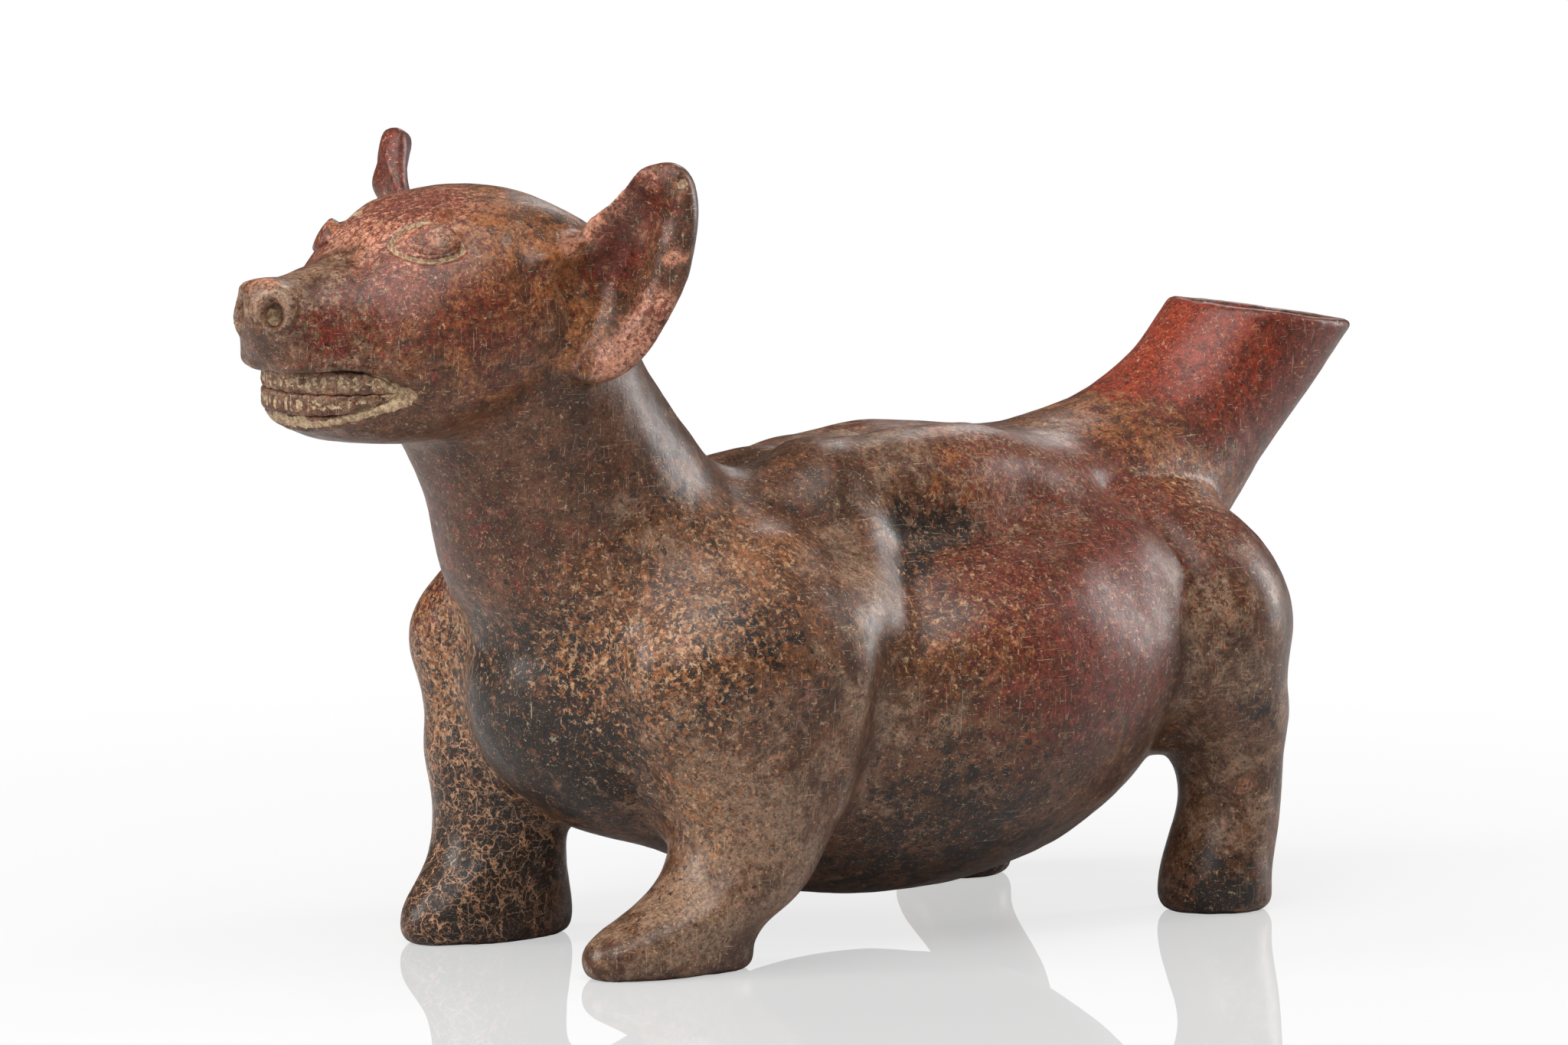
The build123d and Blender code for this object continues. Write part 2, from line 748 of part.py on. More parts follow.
for name, (shares, height, sizes, shank, places) in legs.items():
    upper_length, upper_breadth, foot_length, foot_width = sizes
    with BuildPart() as leg:
        add(leg_form(
            shares,
            height,
            (crown_length, upper_length, shank, foot_length),
            (crown_breadth, upper_breadth, shank, foot_width),
            places,
        ))
        add(torso_seat, mode=Mode.SUBTRACT)
        add(neck_seat, mode=Mode.SUBTRACT)
        add(spout_seat, mode=Mode.SUBTRACT)
    pieces[name] = leg.part

for name, piece in pieces.items():
    piece.label = name
    export_step(piece, f"parts/{name}.step")
    box = piece.bounding_box()
    print(name, round(piece.volume), len(piece.solids()), box.min, box.max)
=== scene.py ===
"""Looks of a hollow, burnished clay vessel in the shape of a standing dog.

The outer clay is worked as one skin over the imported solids: it is blocked out, relaxed,
sculpted in the places where the photograph shows folds and hollows, and only then divided
into the pieces it was luted from. So the seams lie where they were smoothed over.
"""

import logging
import math
from dataclasses import dataclass, field
from enum import Enum
from typing import Callable, Iterable, Optional

import bmesh
import bpy
import numpy as np
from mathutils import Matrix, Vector, noise
from mathutils.bvhtree import BVHTree

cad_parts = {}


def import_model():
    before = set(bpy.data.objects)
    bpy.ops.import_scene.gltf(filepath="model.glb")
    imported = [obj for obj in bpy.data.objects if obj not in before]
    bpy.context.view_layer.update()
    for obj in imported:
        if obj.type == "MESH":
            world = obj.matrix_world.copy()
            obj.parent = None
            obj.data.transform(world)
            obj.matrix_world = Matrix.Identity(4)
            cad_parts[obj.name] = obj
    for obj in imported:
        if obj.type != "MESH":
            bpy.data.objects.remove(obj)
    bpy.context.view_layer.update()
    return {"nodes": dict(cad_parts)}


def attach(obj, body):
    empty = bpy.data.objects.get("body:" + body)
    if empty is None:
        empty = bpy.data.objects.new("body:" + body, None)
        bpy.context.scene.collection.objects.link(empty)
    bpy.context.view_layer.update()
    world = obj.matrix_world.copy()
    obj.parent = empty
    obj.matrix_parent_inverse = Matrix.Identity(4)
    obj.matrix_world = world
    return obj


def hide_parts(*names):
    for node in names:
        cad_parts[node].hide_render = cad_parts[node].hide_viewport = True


MM = 0.001
LOG = logging.getLogger("clay_dog")

Place = tuple[float, float, float]
Pixel = tuple[float, float]
Colour = tuple[float, float, float]


class Side(Enum):
    """Whether a place is worked only where the photograph shows it, or mirrored as well."""

    SEEN = "seen"
    BOTH = "both"


class Closing(Enum):
    """How a divided piece of skin is made a closed body."""

    WALLED = "walled"
    SOLID = "solid"


@dataclass(frozen=True)
class PhotoView:
    """The photograph's nearly parallel view, which also finds the clay under a pixel."""

    azimuth: float = -39.0
    elevation: float = 8.0
    pixels_per_mm: float = 4.608
    frame: Pixel = (2048.0, 1365.0)
    target: Place = (-3.4, 0.0, 117.0)
    distance_mm: float = 20000.0
    sensor_mm: float = 36.0

    def axes(self) -> tuple[Vector, Vector, Vector]:
        """The unit vectors towards the camera, to its right and up in the picture."""
        turn, lift = math.radians(self.azimuth), math.radians(self.elevation)
        back = Vector((math.sin(turn) * math.cos(lift), -math.cos(turn) * math.cos(lift), math.sin(lift)))
        right = Vector((math.cos(turn), math.sin(turn), 0.0))
        return back, right, back.cross(right)

    def touch(self, pixel: Pixel, clay: BVHTree) -> Optional[Vector]:
        """Find the clay that shows at a pixel.

        Args:
            pixel: A place in the photograph's own frame.
            clay: The search tree of the skin.

        Returns:
            The place in metres, or None where the pixel shows no clay.
        """
        back, right, up = self.axes()
        across = (pixel[0] - self.frame[0] / 2) / self.pixels_per_mm
        rise = (self.frame[1] / 2 - pixel[1]) / self.pixels_per_mm
        start = (Vector(self.target) + right * across + up * rise) * MM + back
        return clay.ray_cast(start, -back)[0]

    def set_camera(self) -> None:
        """Put the scene's camera where the photograph was taken from."""
        back, _, _ = self.axes()
        data = bpy.data.cameras.new("photo_camera")
        data.sensor_width = self.sensor_mm
        data.lens = self.pixels_per_mm * self.distance_mm / self.frame[0] * self.sensor_mm
        data.clip_end = 100.0
        camera = bpy.data.objects.new("photo_camera", data)
        camera.location = (Vector(self.target) + back * self.distance_mm) * MM
        camera.rotation_mode = "QUATERNION"
        camera.rotation_quaternion = (-back).to_track_quat("-Z", "Y")
        bpy.context.scene.collection.objects.link(camera)
        bpy.context.scene.camera = camera


@dataclass(frozen=True)
class Stroke:
    """One push or pull of the clay along a line.

    The line is given as pixels of the photograph or as places in mm. The clay moves along its
    own normals, or all in one direction where that is given. A leaf of clay that is pushed
    through moves as a whole, as deep as the given thickness.
    """

    path: tuple[Pixel | Place, ...]
    reach: float
    lift: float
    side: Side = Side.BOTH
    along: Optional[Place] = None
    through: float = 0.0


@dataclass(frozen=True)
class Blotch:
    """A patch of one tone round a pixel of the photograph, with its size in mm."""

    tone: str
    pixel: Pixel
    radius: float
    strength: float
    side: Side = Side.BOTH


# Tones laid on the clay: the char tone is fire clouds and also painted shade in hollows and valleys; the tan and salmon
# tones are partly pale clay and partly painted sheen and highlights.
TONES = ("char_and_shade", "red", "bright", "fleck", "orange", "salmon", "tan", "wear", "net", "crust")

def almond(left: Pixel, right: Pixel, rise: float, drop: float, steps: int = 12) -> tuple[Pixel, ...]:
    """Draw a closed almond between two corners.

    Args:
        left: Its left corner.
        right: Its right corner.
        rise: How high its upper edge stands above the line between them.
        drop: How low its lower edge hangs.
        steps: How many points each edge has.

    Returns:
        Its points, the first of which is also the last.
    """
    points = []
    for first, last, height in ((left, right, -rise), (right, left, drop)):
        for step in range(steps):
            share = step / steps
            bow = height * (4.0 * share * (1.0 - share)) ** 0.8
            points.append((first[0] + share * (last[0] - first[0]), first[1] + share * (last[1] - first[1]) + bow))
    return (*points, points[0])


# Old creases that are smoothed over first: line, reach in mm and rounds
BODY_SOFTENED = (
    (((1040, 620), (1110, 655), (1160, 695), (1195, 735)), 15.0, 100),
    (((1158, 700), (1162, 770), (1150, 860), (1128, 940), (1110, 1020)), 10.0, 220),
    (((1200, 720), (1285, 712), (1367, 700)), 9.0, 60),
    (((1480, 720), (1505, 800), (1500, 880), (1475, 950)), 14.0, 260),
)

# Broad forms of the body, reach and lift in mm
BODY_STROKES = {
    "shoulder_ridge": Stroke(
        ((1010, 601), (1070, 636), (1118, 690), (1142, 745), (1133, 837), (1119, 920), (1102, 1020)), 11.0, 2.8
    ),
    "behind_shoulder": Stroke(
        ((1186, 740), (1188, 780), (1174, 840), (1156, 917), (1136, 1000)), 9.0, -2.4
    ),
    "flank_fill": Stroke(((1205, 740), (1285, 722)), 9.0, 1.6),
    "flank_valley": Stroke(((1190, 694), (1215, 703), (1251, 701), (1303, 686), (1348, 665)), 9.0, -3.0),
    "diagonal_valley": Stroke(((1190, 765), (1225, 841), (1270, 922)), 10.0, -1.4),
    "near_back_roll": Stroke(((-12, -22, 141), (15, -20, 143), (45, -20, 142)), 16.0, 3.4, Side.SEEN),
    "far_back_roll": Stroke(((-40, 26, 139), (-10, 26, 140), (25, 26, 141)), 15.0, -4.0, Side.SEEN),
    "back_groove": Stroke(((-45, 5, 137), (-20, 5, 136), (8, 4, 136), (35, 3, 137)), 7.0, -1.6, Side.SEEN),
    "neck_crease": Stroke(((790, 715), (850, 675), (905, 642), (950, 618)), 9.0, -2.4),
    "upper_shoulder": Stroke(((850, 790), (900, 740), (980, 720)), 24.0, 2.4),
    "haunch_fill": Stroke(((1470, 710), (1490, 760), (1496, 820), (1488, 880)), 14.0, 3.2),
    "haunch_crease": Stroke(
        ((1452, 636), (1520, 695), (1550, 740), (1564, 790), (1564, 845), (1550, 912), (1528, 965)), 5.0, -2.4
    ),
    "belly_bulge": Stroke(((1400, 740), (1440, 820), (1420, 900)), 26.0, 2.2),
    "haunch_ridge": Stroke(((1625, 700), (1655, 800)), 14.0, 1.2),
    "belly_underside": Stroke(((0, 0, 11), (45, 0, 11), (90, 0, 11)), 30.0, 1.0),
}
EAR_BACK = (0.836, 0.543, -0.08)
EAR_FRONT = (-0.836, -0.543, 0.08)
UP_LEFT = (-0.488, 0.521, 0.700)
LEFTWARDS = (-0.777, 0.629, 0.0)

# The head's forms
HEAD_STROKES = {
    "brow": Stroke(((510, 300), (570, 283), (625, 296)), 6.0, 1.0),
    "eye_hollow": Stroke(((490, 345), (530, 352)), 8.0, -1.2),
    "muzzle_side": Stroke(((430, 430), (480, 450)), 10.0, -1.4),
    "cheek": Stroke(((600, 470), (640, 430)), 20.0, 1.2),
    "ear_front": Stroke(((800, 295), (818, 277), (834, 257), (848, 241)), 5.0, 3.4, Side.SEEN, UP_LEFT),
    "ear_tip": Stroke(((876, 234),), 6.0, 1.2, Side.SEEN, (0.0, 0.0, 1.0)),
    "ear_hollow": Stroke(((838, 276), (828, 315), (817, 350), (800, 384)), 6.6, 5.4, Side.SEEN, EAR_BACK, 14.0),
    "ear_inlet": Stroke(((778, 358), (800, 338)), 6.0, 2.6, Side.SEEN, EAR_BACK, 14.0),
    "ear_root_hollow": Stroke(((750, 366), (765, 361)), 6.0, -1.6, Side.SEEN),
    "ear_lobe": Stroke(((788, 470), (820, 450), (846, 420), (862, 380), (872, 325)), 6.0, 2.4, Side.SEEN, EAR_FRONT, 14.0),
    "ear_front_rim": Stroke(((711, 345), (732, 334), (756, 320), (778, 305)), 3.6, 2.8, Side.SEEN),
    "ear_front_roll": Stroke(((782, 302), (800, 285), (816, 268), (832, 250), (846, 234)), 3.2, 1.2, Side.SEEN),
    "far_ear_root": Stroke(((512, 243),), 8.0, 5.5, Side.SEEN, LEFTWARDS),
    "far_ear_tip": Stroke(((528, 176),), 5.0, 2.0, Side.SEEN, (0.0, 0.0, 1.0)),
    "nose_ball": Stroke(((345, 372), (350, 384)), 6.0, 0.8),
    "nostril_wing": Stroke(((372, 388), (386, 402), (384, 424), (368, 436)), 2.6, 1.3),
    "throat": Stroke(((520, 590), (560, 620)), 18.0, -0.8),
    "upper_lip": Stroke(((340, 482), (370, 486), (403, 482), (443, 478), (475, 482), (505, 489), (533, 499)), 1.8, 0.7),
    "lower_lip": Stroke(((380, 557), (422, 560), (455, 553), (491, 543), (527, 532)), 1.8, 0.6),
    "mouth_corner": Stroke(((504, 508), (518, 511), (534, 516)), 2.8, -1.7),
}
FINE_STROKES = {
    "nostril_pit": Stroke(((359, 406), (361, 416)), 2.7, -4.6),
    "nostril_line": Stroke(((396, 395), (396, 415), (383, 433), (358, 442)), 1.0, -0.8),
    "eye_ring": Stroke(almond((511, 325), (609, 330), 33, 16), 0.8, -1.3),
    "ear_chip": Stroke(((892, 243),), 1.4, -1.2, Side.SEEN),
    "corner_line": Stroke(((506, 518), (526, 519), (542, 520)), 0.8, -0.7),
    "corner_gap_one": Stroke(((511, 500), (512, 513)), 0.6, -0.5),
    "corner_gap_two": Stroke(((523, 505), (524, 516)), 0.6, -0.5),
    "corner_gap_three": Stroke(((514, 523), (514, 531)), 0.6, -0.5),
}

# Places of the head that are smoothed over again: line, reach in mm and rounds
HEAD_SOFTENED = (
    (((790, 505), (775, 512)), 4.0, 40),
    (((712, 344), (738, 326), (765, 305)), 2.6, 4),
    (((765, 308), (785, 292), (804, 275), (822, 256), (840, 238), (856, 224)), 3.6, 34),
    (((800, 492), (845, 460), (880, 412), (898, 352), (905, 290)), 2.6, 7),
    (((812, 389), (830, 360), (838, 330)), 3.2, 12),
    (((930, 600), (985, 610), (1030, 625)), 12.0, 40),
)

# Paint: where each tone lies, with its radius in mm. Some char patches are painted shade in hollows and valleys, and
# the tan and salmon patches are partly painted sheen and highlights.
BLOTCHES = (
    Blotch("char_and_shade", (700, 980), 36.0, 1.0),
    Blotch("char_and_shade", (760, 900), 26.0, 0.75),
    Blotch("char_and_shade", (930, 860), 24.0, 0.6),
    Blotch("char_and_shade", (820, 640), 14.0, 0.3),
    Blotch("char_and_shade", (1010, 830), 18.0, 0.45),
    Blotch("char_and_shade", (1040, 640), 12.0, 0.5),
    Blotch("char_and_shade", (900, 660), 18.0, 0.55),
    # These char patches are painted shade in the valley behind the shoulder and under the back roll.
    Blotch("char_and_shade", (1190, 740), 8.0, 0.6),
    Blotch("char_and_shade", (1175, 680), 8.0, 0.9),
    Blotch("char_and_shade", (1215, 695), 9.0, 1.0),
    Blotch("char_and_shade", (1262, 692), 8.0, 0.9),
    Blotch("char_and_shade", (1180, 740), 7.0, 0.7),
    Blotch("char_and_shade", (1190, 1130), 38.0, 0.75),
    Blotch("char_and_shade", (1340, 1090), 26.0, 0.45),
    Blotch("char_and_shade", (1655, 930), 12.0, 0.55),
    Blotch("char_and_shade", (1600, 1180), 14.0, 0.5),
    # Painted shade in the ear's hollow: a char patch at its deepest and deep red over the rest.
    Blotch("char_and_shade", (815, 388), 5.0, 0.5, Side.SEEN),
    Blotch("red", (810, 340), 12.0, 1.0, Side.SEEN),
    Blotch("char_and_shade", (1250, 1040), 30.0, 0.5),
    Blotch("char_and_shade", (1590, 1180), 18.0, 0.7),
    Blotch("char_and_shade", (610, 1190), 20.0, 0.7, Side.SEEN),
    Blotch("char_and_shade", (640, 1100), 24.0, 0.8, Side.SEEN),
    Blotch("char_and_shade", (570, 960), 20.0, 0.5, Side.SEEN),
    Blotch("red", (1480, 740), 20.0, 1.0),
    Blotch("red", (1445, 830), 24.0, 0.95),
    Blotch("red", (1380, 900), 30.0, 0.7),
    Blotch("red", (1500, 900), 18.0, 0.75),
    Blotch("red", (1320, 780), 22.0, 0.5),
    Blotch("red", (1620, 500), 30.0, 1.0),
    Blotch("red", (1700, 430), 26.0, 1.0),
    Blotch("red", (1540, 440), 22.0, 0.85),
    Blotch("red", (588, 780), 13.0, 0.9, Side.SEEN),
    Blotch("red", (680, 700), 26.0, 0.4),
    Blotch("red", (430, 442), 6.0, 0.8),
    Blotch("red", (640, 480), 26.0, 0.45),
    Blotch("red", (860, 250), 12.0, 0.5),
    Blotch("red", (520, 200), 14.0, 1.0, Side.SEEN),
    Blotch("orange", (650, 290), 34.0, 0.85),
    Blotch("orange", (620, 440), 28.0, 0.7),
    Blotch("orange", (720, 400), 22.0, 0.6),
    Blotch("orange", (1480, 560), 24.0, 0.9),
    Blotch("orange", (1600, 640), 18.0, 0.8),
    Blotch("orange", (960, 700), 24.0, 0.6),
    Blotch("orange", (1310, 800), 26.0, 0.6),
    Blotch("orange", (1280, 610), 22.0, 0.7),
    Blotch("orange", (1340, 900), 20.0, 0.5),
    # Salmon on the ear's lobe and front rim: partly pale clay, partly a painted highlight where the light catches them.
    Blotch("salmon", (800, 474), 8.0, 1.0, Side.SEEN),
    Blotch("salmon", (830, 450), 8.0, 1.0, Side.SEEN),
    Blotch("salmon", (862, 405), 6.0, 1.0, Side.SEEN),
    Blotch("salmon", (882, 340), 4.0, 0.8, Side.SEEN),
    Blotch("salmon", (745, 327), 4.0, 0.9, Side.SEEN),
    Blotch("salmon", (780, 304), 4.5, 1.0, Side.SEEN),
    Blotch("salmon", (818, 274), 5.0, 0.8, Side.SEEN),
    Blotch("salmon", (850, 240), 4.0, 0.7, Side.SEEN),
    # Salmon on the nose's side, the brow and round the eye: partly pale clay, partly a painted highlight; the patch
    # left of the eye is a painted highlight.
    Blotch("salmon", (350, 374), 6.0, 0.3),
    Blotch("salmon", (560, 268), 14.0, 0.75),
    Blotch("salmon", (500, 300), 10.0, 1.0),
    Blotch("salmon", (520, 350), 9.0, 0.7),
    Blotch("fleck", (560, 270), 16.0, 1.0),
    Blotch("fleck", (520, 380), 16.0, 1.0),
    Blotch("fleck", (440, 430), 12.0, 1.0),
    Blotch("fleck", (640, 400), 22.0, 0.7),
    Blotch("fleck", (1330, 620), 30.0, 0.8),
    Blotch("fleck", (1450, 640), 24.0, 1.0),
    Blotch("fleck", (1300, 760), 24.0, 0.9),
    Blotch("fleck", (1600, 680), 26.0, 0.7),
    Blotch("fleck", (840, 260), 12.0, 0.8),
    Blotch("fleck", (860, 420), 10.0, 0.6),
    Blotch("fleck", (560, 780), 20.0, 0.9, Side.SEEN),
    Blotch("bright", (1500, 480), 16.0, 1.0),
    Blotch("bright", (1560, 430), 18.0, 1.0),
    Blotch("bright", (1640, 480), 18.0, 0.6),
    Blotch("bright", (1400, 840), 20.0, 0.4),
    Blotch("bright", (436, 438), 3.4, 0.9),
    Blotch("bright", (520, 200), 12.0, 0.2, Side.SEEN),
    # Tan patches: partly a greyish taupe clay, partly a painted sheen where the light catches the back, the haunch, the
    # legs, the muzzle and the brow.
    Blotch("tan", (1250, 600), 34.0, 0.7),
    Blotch("tan", (1400, 600), 24.0, 0.7),
    Blotch("tan", (900, 720), 26.0, 0.5),
    Blotch("tan", (960, 1080), 36.0, 0.95),
    Blotch("tan", (860, 1200), 26.0, 0.8),
    # Painted sheen along the shoulder ridge.
    Blotch("tan", (1130, 760), 12.0, 0.8),
    Blotch("tan", (1115, 900), 10.0, 0.7),
    Blotch("tan", (1210, 930), 22.0, 0.5),
    Blotch("tan", (1600, 830), 34.0, 0.7),
    Blotch("tan", (1590, 1080), 30.0, 0.5),
    Blotch("tan", (400, 400), 20.0, 0.6),
    # Painted sheen on the shoulder ridge.
    Blotch("tan", (1120, 740), 12.0, 0.8),
    Blotch("tan", (560, 280), 18.0, 0.8),
    Blotch("tan", (460, 500), 16.0, 0.6),
    Blotch("wear", (900, 860), 32.0, 0.8),
    Blotch("wear", (980, 720), 22.0, 0.8),
    Blotch("wear", (780, 830), 22.0, 0.8),
    Blotch("wear", (1270, 800), 26.0, 0.6),
    Blotch("wear", (1560, 640), 18.0, 0.7),
    Blotch("wear", (900, 1040), 16.0, 0.8),
    Blotch("wear", (1480, 800), 20.0, 0.35),
    Blotch("wear", (580, 880), 18.0, 0.9, Side.SEEN),
    Blotch("net", (600, 1090), 24.0, 1.0, Side.SEEN),
    Blotch("net", (640, 1180), 24.0, 1.0, Side.SEEN),
    Blotch("net", (570, 1190), 16.0, 0.9, Side.SEEN),
    Blotch("net", (575, 980), 14.0, 0.7, Side.SEEN),
)


def soft_falloff(distance: np.ndarray, reach: float) -> np.ndarray:
    """One at the middle of a stroke, fading smoothly with the distance from it."""
    return np.exp(-((distance / reach) ** 2))


def distance_to_path(places: np.ndarray, path: np.ndarray) -> np.ndarray:
    """Measure how far each place lies from a chain of points.

    Args:
        places: The places, one in a row.
        path: The chain, one point in a row.

    Returns:
        The least distance of each place.
    """
    if len(path) == 1:
        return np.linalg.norm(places - path[0], axis=1)
    least = np.full(len(places), np.inf)
    for start, end in zip(path[:-1], path[1:]):
        run = end - start
        share = np.clip((places - start) @ run / max(run @ run, 1e-12), 0.0, 1.0)
        least = np.minimum(least, np.linalg.norm(places - (start + share[:, None] * run), axis=1))
    return least


def mesh_places(mesh: bpy.types.Mesh) -> np.ndarray:
    """The places of a mesh's vertices, one in a row, in metres."""
    flat = np.empty(len(mesh.vertices) * 3)
    mesh.vertices.foreach_get("co", flat)
    return flat.reshape(-1, 3)


def mesh_normals(mesh: bpy.types.Mesh) -> np.ndarray:
    """The smooth normals of a mesh's vertices, one in a row."""
    mesh.update()
    flat = np.empty(len(mesh.vertices) * 3)
    mesh.vertex_normals.foreach_get("vector", flat)
    return flat.reshape(-1, 3)


def mesh_edges(mesh: bpy.types.Mesh) -> np.ndarray:
    """A mesh's edges as pairs of vertex numbers."""
    flat = np.empty(len(mesh.edges) * 2, dtype=np.int32)
    mesh.edges.foreach_get("vertices", flat)
    return flat.reshape(-1, 2)


def spread(mesh: bpy.types.Mesh, values: np.ndarray, weight: np.ndarray, rounds: int, hold: float = 0.0) -> np.ndarray:
    """Even out a value over a mesh.

    Args:
        mesh: The mesh.
        values: The value at each vertex.
        weight: How far each value goes in a round towards the mean of its neighbours.
        rounds: How many times that is done.
        hold: The share of each round that is given back, which keeps thin forms as thick as they are.

    Returns:
        The evened values.
    """
    first, second = mesh_edges(mesh).T
    count = len(values)
    degree = np.bincount(first, minlength=count) + np.bincount(second, minlength=count)
    degree = np.maximum(degree, 1)
    for step in [weight, -hold * weight][: 2 if hold else 1] * rounds:
        total = np.bincount(first, values[second], count) + np.bincount(second, values[first], count)
        values = values + step * (total / degree - values)
    return values


def smooth_mesh(mesh: bpy.types.Mesh, weight: np.ndarray, rounds: int, hold: float = 0.0) -> None:
    """Even out the places of a mesh's vertices, as spread does for any value."""
    places = mesh_places(mesh)
    for axis in range(3):
        places[:, axis] = spread(mesh, places[:, axis], weight, rounds, hold)
    place_vertices(mesh, places)


def swollen(
    mesh: bpy.types.Mesh, reach: Callable[[np.ndarray], np.ndarray], steps: int, voxel: float
) -> bpy.types.Mesh:
    """Swell a mesh in steps and make it even again after each.

    Args:
        mesh: The mesh, which is used up.
        reach: A function of the places that gives how far each is moved, in metres.
        steps: How many steps it takes.
        voxel: The size of its faces in metres.

    Returns:
        The new mesh.
    """
    for _ in range(steps):
        places = mesh_places(mesh)
        place_vertices(mesh, places + mesh_normals(mesh) * (reach(places) / steps)[:, None])
        mesh = remeshed(mesh, voxel)
    return mesh


def place_vertices(mesh: bpy.types.Mesh, places: np.ndarray) -> None:
    """Move a mesh's vertices to the given places."""
    mesh.vertices.foreach_set("co", places.ravel())
    mesh.update()


def remeshed(mesh: bpy.types.Mesh, voxel: float) -> bpy.types.Mesh:
    """Rebuild a mesh as an even skin.

    Args:
        mesh: The closed solids to cover, which is used up.
        voxel: The size of its new faces in metres.

    Returns:
        The new mesh.
    """
    holder = bpy.data.objects.new("remesh_holder", mesh)
    bpy.context.scene.collection.objects.link(holder)
    modifier = holder.modifiers.new("even", "REMESH")
    modifier.mode = "VOXEL"
    modifier.voxel_size = voxel
    depsgraph = bpy.context.evaluated_depsgraph_get()
    result = bpy.data.meshes.new_from_object(holder.evaluated_get(depsgraph))
    bpy.data.objects.remove(holder)
    bpy.data.meshes.remove(mesh)
    return result


def merged_copy(nodes: dict[str, bpy.types.Object], names: Iterable[str]) -> bpy.types.Mesh:
    """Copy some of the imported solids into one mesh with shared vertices.

    Args:
        nodes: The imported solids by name.
        names: The solids to copy.

    Returns:
        The copy.
    """
    work = bmesh.new()
    for name in names:
        work.from_mesh(nodes[name].data)
    bmesh.ops.remove_doubles(work, verts=work.verts[:], dist=0.002 * MM)
    mesh = bpy.data.meshes.new("merged_copy")
    work.to_mesh(mesh)
    work.free()
    return mesh


def linked_groups(count: int, pairs: np.ndarray) -> np.ndarray:
    """Number the connected groups among some items.

    Args:
        count: How many items there are.
        pairs: The linked items, two in a row.

    Returns:
        The group number of each item, which is its lowest member.
    """
    group = np.arange(count)
    while True:
        lowest = np.minimum(group[pairs[:, 0]], group[pairs[:, 1]])
        before = group.copy()
        np.minimum.at(group, pairs[:, 0], lowest)
        np.minimum.at(group, pairs[:, 1], lowest)
        group = group[group]
        if np.array_equal(group, before):
            return group


@dataclass(frozen=True)
class Lining:
    """The skin's places and normals, the room behind each and a smoother skin for the inner faces."""

    places: np.ndarray
    normals: np.ndarray
    room: np.ndarray
    smooth_places: np.ndarray
    smooth_normals: np.ndarray

    def at_depth(self, wall: float) -> np.ndarray:
        """The places of an inner face, which keep inside the clay where it is thin.

        Args:
            wall: How deep the inner face lies, in metres.

        Returns:
            One place for each vertex of the skin.
        """
        deep = self.smooth_places - self.smooth_normals * wall
        shallow = self.places - self.normals * np.minimum(wall, 0.4 * self.room)[:, None]
        share = np.clip(self.room / wall - 2.0, 0.0, 1.0)[:, None]
        return share * deep + (1.0 - share) * shallow


